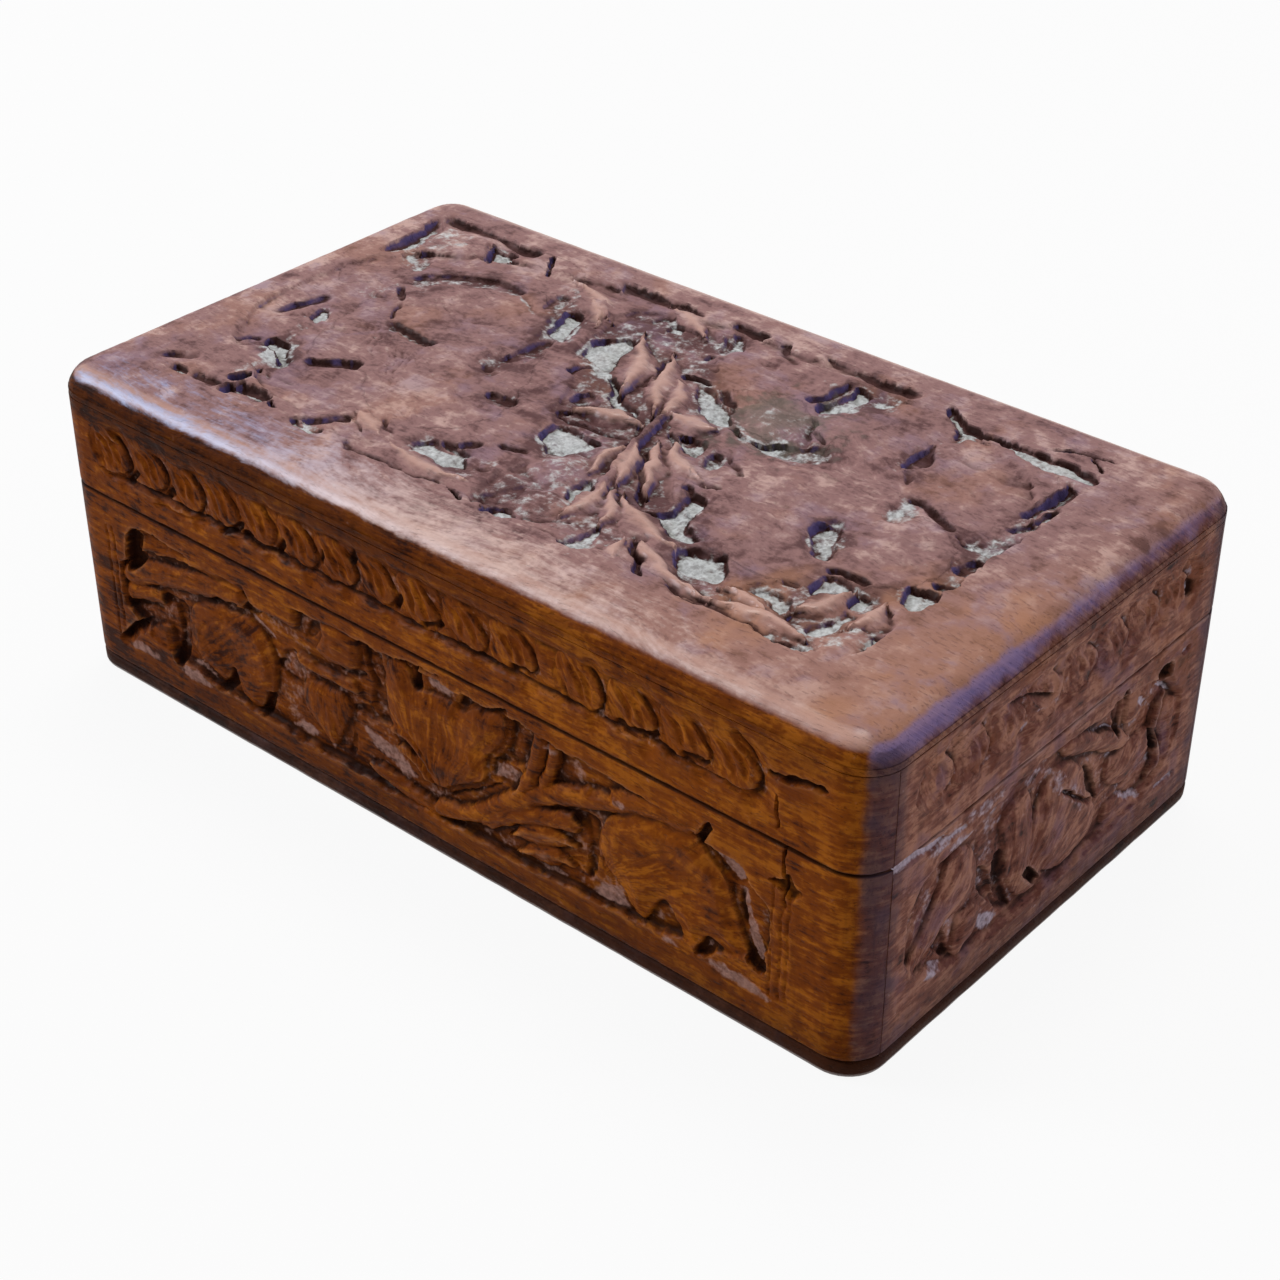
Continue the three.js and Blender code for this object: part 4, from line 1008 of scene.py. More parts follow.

# %% [markdown]
# ## Where dust and polish gather, and where light is painted
# The finish should follow the carving: grime and painted shade in the hollows, polish and painted
# highlights on what a hand can touch. We read that from the depths themselves. Blurring the depths
# gives the average level around a point; a point deeper than that lies in a hollow, and one above it
# stands proud. The slope tells which spots are walls, and its direction which way they face: walls
# facing the front get painted shade, and walls facing sideways painted violet light. These numbers
# travel with the mesh as point attributes, so the material can read them from any side and at any pose of the
# lid.
# Other marks tell what kind of surface a point lies on:
# - `upright` and `endwise`: on a side of the box, and on one of its ends,
# - `inside`: on the raw wood inside the box,
# - `around`: how deep the lid is carved round about,
# - one mark for painted light on the lid: a pale painted highlight above zero, or a painted violet reflection
#   on the right edge below zero,
# - `vein_across` and `vein_along`: the direction of the fine cuts on a leaf.
# %% Marks for the finish
def soften(field, cells):
    """A square blur, done twice, of so many cells to each side."""
    for _ in range(2):
        for axis in (0, 1):
            padded = np.concatenate([
                np.repeat(np.take(field, [0], axis), cells + 1, axis), field,
                np.repeat(np.take(field, [-1], axis), cells, axis)], axis)
            total = np.cumsum(padded, axis)
            high = np.take(total, range(2 * cells + 1, total.shape[axis]), axis)
            low = np.take(total, range(0, total.shape[axis] - 2 * cells - 1), axis)
            field = (high - low) / (2 * cells + 1)
    return field


def read_marks(face, step):
    near_level = soften(face.depth, max(1, round(0.6 / step)))
    wide_level = soften(face.depth, max(1, round(1.6 / step)))
    slope_across = np.gradient(face.depth, axis=0) / step
    slope_up = np.gradient(face.depth, axis=1) / step
    steep = np.hypot(slope_across, slope_up)
    in_wide_hollow = np.clip((face.depth - wide_level) * 1.3, 0, 1)
    in_small_hollow = np.clip((face.depth - near_level) * 2, 0, 1)
    return {
        "dust": face.dust * np.clip(1.15 - steep * 0.5, 0, 1),
        "hollow": in_wide_hollow * 0.6 + in_small_hollow * 0.4,
        "proud": np.clip((near_level - face.depth) * 3.0, 0, 1),
        "wall": smooth_step((steep - face.wall_slope) / (2 * face.wall_slope)),
        "sideways": np.clip(slope_across / (steep + 0.05), -1, 1),
        "deep": smooth_step((face.depth - 0.35) / 1.0),
        "worn": face.rub_and_highlight,
        "vein_across": face.vein_across,
        "vein_along": face.vein_along,
    }


mark_names = ("dust", "hollow", "proud", "wall", "sideways", "deep", "around", "inside", "worn", "upright",
              "endwise", "bloom", "vein_across", "vein_along")
print("Marks:", ", ".join(mark_names))

# %% [markdown]
# ## From numbers to a mesh
# A mesh is a list of points and a list of faces. NumPy arrays of both can be handed to Blender in
# one call, which matters with a hundred thousand faces. Each small square of the skin is split
# along the diagonal that bends least, so that slanting cuts keep clean edges.
# %% Making a mesh object
sharp_angle = math.radians(55)


def plain_veins(points, top):
    """Where no leaf gives the fine cuts a direction, they run along the length of the box."""
    return {"vein_across": points[:, 1] + points[:, 2] - top, "vein_along": points[:, 0]}


def closed_mesh(name, points, triangles, marks):
    corners = points[triangles]
    volume = np.einsum("ij,ij->i", corners[:, 0], np.cross(corners[:, 1], corners[:, 2])).sum() / 6
    if volume < 0:
        triangles = triangles[:, ::-1]
    mesh = bpy.data.meshes.new(name)
    mesh.from_pydata(points * millimetre, [], triangles)
    mesh.shade_smooth()
    mesh.set_sharp_from_angle(angle=sharp_angle)
    plain = plain_veins(points, points[:, 2].max())
    for mark in mark_names:
        values = marks.get(mark, plain.get(mark, np.zeros(len(points))))
        layer = mesh.attributes.new(mark, "FLOAT", "POINT")
        layer.data.foreach_set("value", values.astype(np.float32))
    made = bpy.data.objects.new(name, mesh)
    bpy.context.scene.collection.objects.link(made)
    print(f"{name}: {len(triangles)} triangles, {abs(volume) / 1000:.1f} cm3 of wood")
    return made


def split_squares(a, b, c, d, points):
    """Two triangles for each square a b c d, along its shorter diagonal."""
    first = np.linalg.norm(points[a] - points[c], axis=-1)
    second = np.linalg.norm(points[b] - points[d], axis=-1)
    short_first = (first <= second)[:, None]
    one = np.where(short_first, np.stack([a, b, c], 1), np.stack([a, b, d], 1))
    two = np.where(short_first, np.stack([a, c, d], 1), np.stack([b, c, d], 1))
    return np.concatenate([one, two])


print("Mesh helpers are ready")

# %% [markdown]
# ## Sizes that the wood shares
# The boards' places come from the CAD pieces. Only the roundings, which a bounding box can't tell,
# are written here again.
# %% Sizes of the boards
lid_low, lid_high = (np.array(corner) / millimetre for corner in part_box("lid_top_board"))
base_high = np.array(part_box("base_board")[1]) / millimetre
half_length = lid_high[0]
half_depth = lid_high[1]
corner_radius = 6.0
top_edge_radius = 3.6
base_edge_radius = 1.2
groove_level = 2.85
groove_reach = 0.5
wall_thickness = 5.0
fine_step = 0.25
print("The box is", 2 * half_length, "by", 2 * half_depth, "by", lid_high[2], "mm")

# %% [markdown]
# ## Side boards
# Each side board is built like a barrel stave: columns of points follow its rounded outline in plan,
# and every column is a closed loop that runs up the carved skin, over the top edge, down the
# plain inside and back along the lower edge. The carving pushes the skin inwards only, so the
# board never leaves the space that the CAD model gave it.
# %% Side board builder
inner_rows = 6


def edge_distance_to_depth(distance, radius):
    reach = np.clip(radius - distance, 0, radius)
    return radius - np.sqrt(radius ** 2 - reach ** 2)


def skin_in_plan(along, half, face):
    """Place and outward direction of the outer skin, at a distance along it from the middle."""
    straight = half - corner_radius
    angle = np.clip((np.abs(along) - straight) / corner_radius, 0, math.pi / 2)
    side = np.sign(along)
    u = np.where(angle > 0, side * (straight + corner_radius * np.sin(angle)), along)
    w = face - corner_radius + corner_radius * np.cos(angle)
    return u, w, side * np.sin(angle), np.cos(angle)


def levels_between(low, high, step):
    near_edge = np.array([0, 0.06, 0.14, 0.25, 0.4])
    middle = np.linspace(low + 0.6, high - 0.6, max(2, round((high - low - 1.2) / step)))
    return np.concatenate([low + near_edge, middle, high - near_edge[::-1]])


def carved_skin(along, level, board_edges, is_long, carve, origin, scale, seed, on_groove):
    """How deep the outer skin lies at each point, and the marks for its finish."""
    low, high = board_edges
    wood = Face(along, level, seed, origin, scale)
    carve(wood)
    deepest_ground = 1.1
    too_deep = wood.depth > deepest_ground
    wood.depth = np.where(too_deep, deepest_ground + (wood.depth - deepest_ground) * 0.6, wood.depth)
    wood.depth = wood.depth * (1.0 if is_long else 0.95)
    vein_height = lumps(wood.vein_across * 1.2, wood.vein_along * 0.22, 1.0, seed + 24)
    wood.depth += 0.10 * (1 + vein_height) * smooth_step(wood.depth / 0.2)
    wood.tool_marks(smooth_step(wood.depth / 0.2))

    from_split = high - level if on_groove else level - low
    rounding = 0.24 + 0.10 * lumps(along, level * 0, 7.0, seed + 20)
    rounding = rounding + 0.1 * lumps(along, level * 0, 1.3, seed + 21)
    wood.depth += edge_distance_to_depth(from_split, rounding)
    if on_groove:
        wood.depth += np.clip(groove_reach - (level - groove_level), 0, groove_reach)
    wood.depth += 0.03 * (1 + lumps(along, level, 9.0, seed + 22))

    marks = read_marks(wood, fine_step)
    edge_rub = np.exp(-from_split / 0.5) * (0.12 if is_long else 0.6)
    edge_rub = edge_rub * (1 + 0.8 * lumps(along, level, 3.0, seed + 23))
    marks["worn"] = np.clip(wood.rub_and_highlight * 0.4 + edge_rub, 0, 1)
    split_shadow = (0.75 if is_long else 0.4) * np.exp(-(from_split / 0.28) ** 2)
    marks["hollow"] = np.maximum(marks["hollow"], split_shadow)
    return wood.depth, marks


def side_board(name, quarter_turns, carve, origin, scale, seed, on_groove):
    low_corner, high_corner = (np.array(corner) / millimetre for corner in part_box(name))
    low, high = low_corner[2], high_corner[2]
    is_long = quarter_turns % 2 == 0
    half, face = (half_length, half_depth) if is_long else (half_depth, half_length)
    straight = half - corner_radius
    if is_long:
        end_angle = math.acos((corner_radius - wall_thickness + 0.04) / corner_radius)
    else:
        end_angle = math.asin((high_corner[1] - straight) / corner_radius)
    reach = straight + corner_radius * end_angle
    alongs = np.linspace(-reach, reach, round(2 * reach / fine_step))
    levels = levels_between(low, high, fine_step)
    along, level = np.meshgrid(alongs, levels, indexing="ij")
    depth, marks = carved_skin(along, level, (low, high), is_long, carve, origin, scale, seed, on_groove)

    skin_u, w, out_u, out_w = skin_in_plan(along, half, face)
    inner = face - wall_thickness
    u = skin_u - out_u * depth
    w = np.maximum(w - out_w * depth, inner + 0.02)
    inner_levels = np.tile(np.linspace(high, low, inner_rows), (len(alongs), 1))
    inner_u = np.repeat(skin_u[:, :1], inner_rows, 1)
    x = np.concatenate([u, inner_u], 1)
    y = -np.concatenate([w, np.full(inner_u.shape, inner)], 1)
    for _ in range(quarter_turns):
        x, y = -y, x
    points = np.stack([x, y, np.concatenate([level, inner_levels], 1)], -1).reshape(-1, 3)

    columns, rows = x.shape
    column, row = np.meshgrid(np.arange(columns - 1), np.arange(rows), indexing="ij")
    a, d = ((column * rows + step_up).ravel() for step_up in (row, (row + 1) % rows))
    triangles = [split_squares(a, a + rows, d + rows, d, points)]
    for first, flip in ((0, False), ((columns - 1) * rows, True)):
        ring = first + np.arange(rows)
        fan = np.stack([np.full(rows - 2, ring[-1]), ring[:-2], ring[1:-1]], 1)
        triangles.append(fan[:, ::-1] if flip else fan)

    facing_end = np.abs(out_u) if is_long else np.abs(out_w)
    marks["endwise"] = smooth_step((facing_end - 0.5) / 0.35)
    marks["inside"] = np.zeros(u.shape)
    on_inner_side = {
        "endwise": np.full(inner_u.shape, 0.0 if is_long else 1.0),
        "inside": np.ones(inner_u.shape),
        "vein_across": inner_levels,
        "vein_along": np.repeat(alongs[:, None], inner_rows, 1)}
    all_marks = {"upright": np.ones(len(points))}
    for mark, values in marks.items():
        inner_values = on_inner_side.get(mark, np.zeros(inner_u.shape))
        all_marks[mark] = np.concatenate([values, inner_values], 1).ravel()
    return closed_mesh(name + "_carved", points, np.concatenate(triangles), all_marks)


# %% [markdown]
# The boards of the body and of the lid differ in what is carved on them, in where the drawing lies,
# and in which edge meets the split. The back gets the front's drawing and the left end the right
# end's. Each board has its own seed, so that no two have the same unevenness.
# %% The eight side boards
# For each storey: both drawings, their origins, their scale, and whether it stands on the groove
storeys = {
    "body": (carve_long_side, carve_short_side, (-0.15, 0.45), (-0.8, 0.3), (0.972, 1.032), True),
    "lid": (carve_long_band, carve_short_band, (-0.2, 1.62), (-1.1, 1.7), (0.955, 0.995), False),
}
boards = {}
for storey, (long_drawing, short_drawing, long_origin, short_origin, scale, on_groove) in storeys.items():
    for turns, place in enumerate(("front", "right", "back", "left")):
        drawing, origin = (short_drawing, short_origin) if turns % 2 else (long_drawing, long_origin)
        node = f"{storey}_{place}_board"
        seed = 100 * turns + (7 if storey == "lid" else 3)
        boards[node] = side_board(node, turns, drawing, origin, scale, seed, on_groove)

# %% [markdown]
# ## Lid board
# The top board is one sheet of fine squares over the sunk field, with rings of points round it
# that carry the border, the worn round edge and the underside. Every ring has as many points as
# the edge of the sheet, plus a few at each corner, where the rounding needs them.
# %% Rings round a board
def ring_points(inset, along_x, along_y, corner_steps):
    """A level outline with round corners; on the inner rectangle the corner points coincide."""
    radius = max(corner_radius - inset, 0.0)
    centre_x = half_length - max(inset, corner_radius)
    centre_y = half_depth - max(inset, corner_radius)
    straight_x = along_x * centre_x
    straight_y = along_y * centre_y
    out_x, out_y = centre_x + radius, centre_y + radius
    parts = []
    sides = [
        (straight_x, np.full(len(along_x), -out_y), (1, -1), -90),
        (np.full(len(along_y), out_x), straight_y, (1, 1), 0),
        (straight_x[::-1], np.full(len(along_x), out_y), (-1, 1), 90),
        (np.full(len(along_y), -out_x), straight_y[::-1], (-1, -1), 180)]
    for side_x, side_y, (sign_x, sign_y), start in sides:
        parts.append(np.stack([side_x, side_y], 1))
        angles = np.radians(start + 90 * np.arange(1, corner_steps) / corner_steps)
        parts.append(np.stack([
            sign_x * centre_x + radius * np.cos(angles), sign_y * centre_y + radius * np.sin(angles)], 1))
    return np.concatenate(parts)


def stack_of_rings(rings):
    """Triangles between rings of equal length, all points numbered ring after ring."""
    count = len(rings[0])
    points = np.concatenate(rings)
    triangles = []
    for level in range(len(rings) - 1):
        here = level * count + np.arange(count)
        after = level * count + (np.arange(count) + 1) % count
        triangles.append(split_squares(here, after, after + count, here + count, points))
    return points, np.concatenate(triangles)


sample_ring = ring_points(0, np.linspace(-1, 1, 100), np.linspace(-1, 1, 60), 8)
print("A ring with 100 by 60 points on its sides has", len(sample_ring), "points")

# %% [markdown]
# The lid is carved shallower than the sides, and its ground rises and falls. On the rings and the
# front border we paint light: a pale painted highlight on the front, which turns bluish towards the
# left, and a painted violet reflection on the right edge.
# %% The lid's top board
def worn_fall(to_edge):
    """Hands have worn the border down towards the edge of the lid."""
    return 0.85 * np.clip(1 - to_edge / 8.5, 0, 1) ** 2


def border_bloom(x, y):
    """A painted pale sheen on the front border, faint towards the right."""
    fading_right = smooth_step((82 - x) / 80)
    fading_left = smooth_step((76 + x) / 12) * (0.54 + 0.46 * smooth_step((60 + x) / 50))
    return 0.66 * smooth_step((-25 - y) / 12) * (fading_right * fading_left)


def carved_lid(across, up, step):
    """How deep the middle of the lid is carved, and the marks for its finish."""
    lid = Face(across, up, 11, (-0.9, 0.45), (0.98, 0.99), wobble=0.46, easy_side=(0.6, -0.7), apron=2.2,
               wall_width=0.9, wall_slope=0.5)
    ground = 0.38
    lid.sink([(-67.4, -30.8), (62.8, -30.8), (62.8, 32.7), (-67.4, 32.7)], ground, 0.8)
    carve_lid_left(lid)
    carve_lid_stem(lid)
    carve_lid_right(lid)
    lid.depth = np.where(lid.depth > ground, ground + (lid.depth - ground) * 0.85, lid.depth)
    in_field = smooth_step((lid.depth - 0.15) / 0.2)
    lid.depth += in_field * (0.1 + 0.34 * lumps(across, up, 8.0, 51))
    lid.depth += in_field * 0.18 * lumps(across, up * 1.6, 3.2, 52)
    lid.depth += in_field * 0.07 * np.abs(lumps(across * 1.8, up, 1.3, 53))
    lid.depth += in_field * 0.13 * lumps(lid.vein_across * 1.3, lid.vein_along * 0.22, 1.0, 54)
    lid.depth = np.maximum(lid.depth, 0.0)
    lid.tool_marks(smooth_step(lid.depth / 0.2), 0.06)
    lid.depth += 0.03 * (1 + lumps(across, up, 11.0, 31))
    marks = read_marks(lid, step)
    marks["around"] = soften(lid.depth, round(2.6 / step))
    # A pale painted sheen on the front border
    marks["bloom"] = border_bloom(across, up)
    return lid.depth, marks


def worn_ring(outline, inset, height):
    """One ring of the lid's edge, dented and rounded by use."""
    top = lid_high[2]
    x, y = outline.T
    arc = np.arctan2(y, x) * 40
    dent = 0.05 * (1 + lumps(arc + x * 0.7, y * 0 + height * 2, 4.0, 33))
    dent += 0.018 * (1 + lumps(arc + x, y * 0 + height, 1.1, 35))
    dent += 0.10 * np.clip(lumps(x, y * 3 + height, 6.0, 34) - 0.45, 0, 1)
    on_edge = 1.0 if inset < top_edge_radius else 0.0
    moved = outline * (1 - on_edge * dent / np.linalg.norm(outline, axis=1) * 0.7)[:, None]
    z = height - (0.03 + dent * 0.7 * (height > top - 2))
    if height > top - 3.3:
        z = z - worn_fall(inset)
    return np.column_stack([moved, z])


def ring_marks(outline, inset, height, inside):
    """The marks on one ring, from where its points lie round the lid."""
    x, y = outline.T
    below_top = lid_high[2] - height
    beyond_x = np.clip(np.abs(x) - (half_length - corner_radius), 0, None)
    beyond_y = np.clip(np.abs(y) - (half_depth - corner_radius), 0, None)
    facing_end = smooth_step((beyond_x / (np.hypot(beyond_x, beyond_y) + 1e-6) - 0.5) / 0.35)
    to_right = smooth_step((x + 20) / 70)
    # Painted highlight: a band along the round edge where a lamp's gleam falls; it lightens the colour there
    # and also gets more wax
    gleam = np.exp(-((inset - 2.2) / (1.6 - 0.45 * to_right)) ** 2) * smooth_step((inset - 0.35) / 0.8)
    gleam = gleam * (below_top < 3.0)
    on_front = smooth_step((-y - 38) / 3) * (1 - facing_end)
    before_corner = 1 - 0.8 * smooth_step((x - 50) / 22)
    # The pale painted highlight on the front edge, weaker towards the right and at the corner
    pale = gleam * on_front * (1 - 0.26 * to_right) * before_corner
    along_right = 0.5 + 0.5 * smooth_step((10 - y) / 40)
    on_right = smooth_step((x - 70) / 3) * facing_end * along_right * smooth_step((41 - y) / 6)
    # A painted violet reflection along the round edge at the right end
    violet = math.exp(-((inset - 1.0) / 0.9) ** 2) if below_top < 3.6 else 0.0
    return {
        "inside": np.full(len(outline), 1.0 if inside else 0.0),
        "worn": gleam * (1 - 0.85 * facing_end),
        "upright": np.full(len(outline), float(smooth_step((below_top - 0.55) / 1.0))),
        "endwise": facing_end,
        "bloom": np.maximum(pale, border_bloom(x, y) * (inset > 2)) - violet * on_right}


def lid_board():
    step = 0.30
    flat_x, flat_y = half_length - corner_radius, half_depth - corner_radius
    xs, ys = (np.linspace(-flat, flat, round(2 * flat / step) + 1) for flat in (flat_x, flat_y))
    across, up = np.meshgrid(xs, ys, indexing="ij")
    depth, marks = carved_lid(across, up, step)
    to_edge = np.minimum(half_length - np.abs(across), half_depth - np.abs(up))
    sheet = np.stack([across, up, lid_high[2] - depth - worn_fall(to_edge)], -1).reshape(-1, 3)
    nx, ny = len(xs), len(ys)
    column, row = np.meshgrid(np.arange(nx - 1), np.arange(ny - 1), indexing="ij")
    a = (column * ny + row).ravel()
    sheet_faces = split_squares(a, a + ny, a + ny + 1, a + 1, sheet)

    top, bottom = lid_high[2], lid_low[2]
    levels = [(corner_radius, top), (5.2, top), (4.4, top)]
    for angle in np.radians(np.linspace(0, 90, 13)):
        inset = top_edge_radius * (1 - math.sin(angle))
        levels.append((inset, top - top_edge_radius * (1 - math.cos(angle))))
    levels += [(0, (top - top_edge_radius + bottom) / 2), (0, bottom + 0.1), (0.03, bottom + 0.03)]
    under_insets = (0.25, wall_thickness, 8.0)
    rings, marks_of_rings = [], []
    for inset, height in levels:
        outline = ring_points(inset, xs / flat_x, ys / flat_y, 8)
        rings.append(worn_ring(outline, inset, height))
        marks_of_rings.append(ring_marks(outline, inset, height, False))
    for inset in under_insets:
        outline = ring_points(inset, xs / flat_x, ys / flat_y, 8)
        rings.append(np.column_stack([outline, np.full(len(outline), bottom)]))
        marks_of_rings.append(ring_marks(outline, inset, bottom, inset > 1))
    count = len(rings[0])
    ring_all, ring_faces = stack_of_rings(rings)

    # The first ring lies on the edge of the sheet: each of its points is one of the sheet's
    def nearest(values, flat, number):
        return np.clip(np.round((values + flat) / (2 * flat) * (number - 1)), 0, number - 1).astype(int)

    welded = nearest(rings[0][:, 0], flat_x, nx) * ny + nearest(rings[0][:, 1], flat_y, ny)
    renumber = np.concatenate([welded, len(sheet) + np.arange(len(ring_all) - count)])
    points = np.concatenate([sheet, ring_all[count:], [[0, 0, bottom]]])
    last_ring = len(sheet) + len(ring_all) - 2 * count + np.arange(count)
    hub = len(points) - 1
    under_faces = np.stack([np.full(count, hub), np.roll(last_ring, -1), last_ring], 1)
    # The rings run outwards and down, so their triangles are turned over to face away from the wood
    triangles = np.concatenate([sheet_faces, renumber[ring_faces][:, ::-1], under_faces])
    # Where corner points coincide, a triangle has no area and is left out
    real = ((triangles[:, 0] != triangles[:, 1]) & (triangles[:, 1] != triangles[:, 2])
            & (triangles[:, 0] != triangles[:, 2]))

    beyond = {mark: values[len(sheet):] for mark, values in plain_veins(points, top).items()}
    for mark in marks_of_rings[0]:
        at_hub = [1.0 if mark == "inside" else 0.0]
        beyond[mark] = np.concatenate([on_ring[mark] for on_ring in marks_of_rings[1:]] + [at_hub])
    all_marks = {}
    for mark in mark_names:
        on_sheet = marks.get(mark, np.zeros(len(sheet))).ravel()
        all_marks[mark] = np.concatenate([on_sheet, beyond.get(mark, np.zeros(len(points) - len(sheet)))])
    return closed_mesh("lid_top_board_carved", points, triangles[real], all_marks)


boards["lid_top_board"] = lid_board()

# %% [markdown]
# ## Base board
# The bottom is a thin dark board whose lower edge is rounded over and whose upper edge makes one
# half of the groove under the walls. It is the same stack of rings, with dents where the box
# has been set down over the years.
# %% Base board
def base_board():
    ring_x = np.linspace(-1, 1, 301)
    ring_y = np.linspace(-1, 1, 169)
    levels = [(8.0, 0.0), (3.0, 0.0)]
    for angle in np.radians(np.linspace(0, 90, 9)):
        levels.append((base_edge_radius * (1 - math.sin(angle)), base_edge_radius * (1 - math.cos(angle))))
    chamfer_start = groove_level - groove_reach
    levels += [(0, 1.7), (0, chamfer_start), (0.2, chamfer_start + 0.2),
               (base_high[2] - chamfer_start, base_high[2]), (8.0, base_high[2])]
    rings = []
    worn = []
    for inset, height in levels:
        outline = ring_points(inset, ring_x, ring_y, 10)
        dent = 0.05 * (1 + lumps(outline[:, 0], outline[:, 1] + height * 3, 3.5, 41))
        dent += 0.22 * np.clip(lumps(outline[:, 0] + height, outline[:, 1], 4.0, 42) - 0.6, 0, 1)
        dent = dent * (1.0 if inset < 3 and height < base_high[2] else 0.0)
        length = np.linalg.norm(outline, axis=1)
        rings.append(np.column_stack([outline * (1 - dent / length)[:, None], np.full(len(outline), height)]))
        worn.append(np.full(len(outline), 1.0 if 0.1 < height < 1.0 else 0.0))
    count = len(rings[0])
    points, triangles = stack_of_rings(rings)
    points = np.concatenate([points, [[0, 0, 0], [0, 0, base_high[2]]]])
    first = np.arange(count)
    last = (len(rings) - 1) * count + np.arange(count)
    low_hub, high_hub = len(points) - 2, len(points) - 1
    caps = [np.stack([np.full(count, low_hub), np.roll(first, -1), first], 1),
            np.stack([np.full(count, high_hub), last, np.roll(last, -1)], 1)]
    marks = {"worn": np.concatenate(worn + [[0.0, 0.0]])}
    marks["inside"] = np.concatenate([np.zeros(count * (len(rings) - 1)), np.ones(count), [0.0, 1.0]])
    return closed_mesh("base_board_worn", points, np.concatenate([triangles] + caps), marks)


boards["base_board"] = base_board()

# %% [markdown]
# ## Housings for the hinges
# The hinge leaves are let into both back boards. A chisel takes out just the space of the leaf and
# its barrel, so here a Boolean modifier subtracts blocks the size of the hinge pieces, grown by
# the fit. The modifier is then applied, and the blocks are thrown away.
# %% Chop the hinge housings
leaf_fit = 0.15
leaf_room = 1.1
barrel_room = 1.85
barrel_end_room = 0.35


def block_cutter(low, high):
    points = [(x, y, z) for x in (low[0], high[0]) for y in (low[1], high[1]) for z in (low[2], high[2])]
    faces = [(0, 1, 3, 2), (4, 6, 7, 5), (0, 4, 5, 1), (2, 3, 7, 6), (0, 2, 6, 4), (1, 5, 7, 3)]
    mesh = bpy.data.meshes.new("cutter")
    mesh.from_pydata([tuple(value * millimetre for value in point) for point in points], [], faces)
    cutter = bpy.data.objects.new("cutter", mesh)
    bpy.context.scene.collection.objects.link(cutter)
    return cutter


def chop_housings(board, storey):
    cutters = []
    for hinge in ("left", "right"):
        leaf_low, leaf_high = (np.array(c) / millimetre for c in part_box(f"{hinge}_hinge_{storey}_leaf"))
        pin_low, pin_high = (np.array(c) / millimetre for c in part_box(f"{hinge}_hinge_pin"))
        axis_y, axis_z = (pin_low[1] + pin_high[1]) / 2, (pin_low[2] + pin_high[2]) / 2
        behind_back = half_depth + 2
        cutters.append(block_cutter(
            (leaf_low[0] - leaf_fit, leaf_low[1] - leaf_fit, axis_z - leaf_room),
            (leaf_high[0] + leaf_fit, behind_back, axis_z + leaf_room)))
        cutters.append(block_cutter(
            (pin_low[0] - barrel_end_room, axis_y - barrel_room, axis_z - barrel_room),
            (pin_high[0] + barrel_end_room, behind_back, axis_z + barrel_room)))
    for cutter in cutters:
        cut = board.modifiers.new("housing", "BOOLEAN")
        cut.operation = "DIFFERENCE"
        cut.solver = "MANIFOLD"
        cut.object = cutter
    bpy.context.view_layer.update()
    cut_mesh = bpy.data.meshes.new_from_object(
        board.evaluated_get(bpy.context.evaluated_depsgraph_get()))
    board.modifiers.clear()
    old_mesh = board.data
    board.data = cut_mesh
    bpy.data.meshes.remove(old_mesh)
    for cutter in cutters:
        bpy.data.objects.remove(cutter)
    print(board.name, "has", len(cut_mesh.polygons), "faces with its housings cut")


chop_housings(boards["body_back_board"], "body")
chop_housings(boards["lid_back_board"], "lid")

# %% [markdown]
# ## Waxed hardwood
# Real grain is a solid: the fibres run the length of the board, so a straight face shows streaks and
# a rounded end shows dots. A noise read at stretched 3-D coordinates does the same, which a
# flat picture of wood could not. Over the grain come four things in this order: stain, grime and
# painted shade in the hollows, polish and painted highlights on the high spots, and dust on the
# floors of the pits. Painted shade under the lid's edge and a painted sheen on its round edge come with them.
# %% Wood finish
def mix_colours(finish, mask, under, over):
    return finish.node("ShaderNodeMix", {"data_type": "RGBA"}, {0: mask, 6: under, 7: over}, 2)


def limit(finish, value, low, high):
    """0 below the low value, 1 above the high one, and a soft step between them."""
    return finish.node("ShaderNodeMapRange", {"interpolation_type": "SMOOTHSTEP"},
                       {0: value, 1: low, 2: high, 3: 0.0, 4: 1.0})


def noise(finish, place, scale, detail, roughness):
    return finish.node("ShaderNodeTexNoise", None, {
        "Vector": place, "Scale": scale, "Detail": detail, "Roughness": roughness})


def place_in_millimetres(finish):
    coordinates = finish.node("ShaderNodeTexCoord", output=3)
    return finish.node("ShaderNodeVectorMath", {"operation": "SCALE"}, {0: coordinates, "Scale": 1000.0})


def stretched(finish, place, factors):
    """The place with x, y and z multiplied by a factor each; a small factor draws a noise out."""
    return finish.node("ShaderNodeVectorMath", {"operation": "MULTIPLY"}, {0: place, 1: factors})


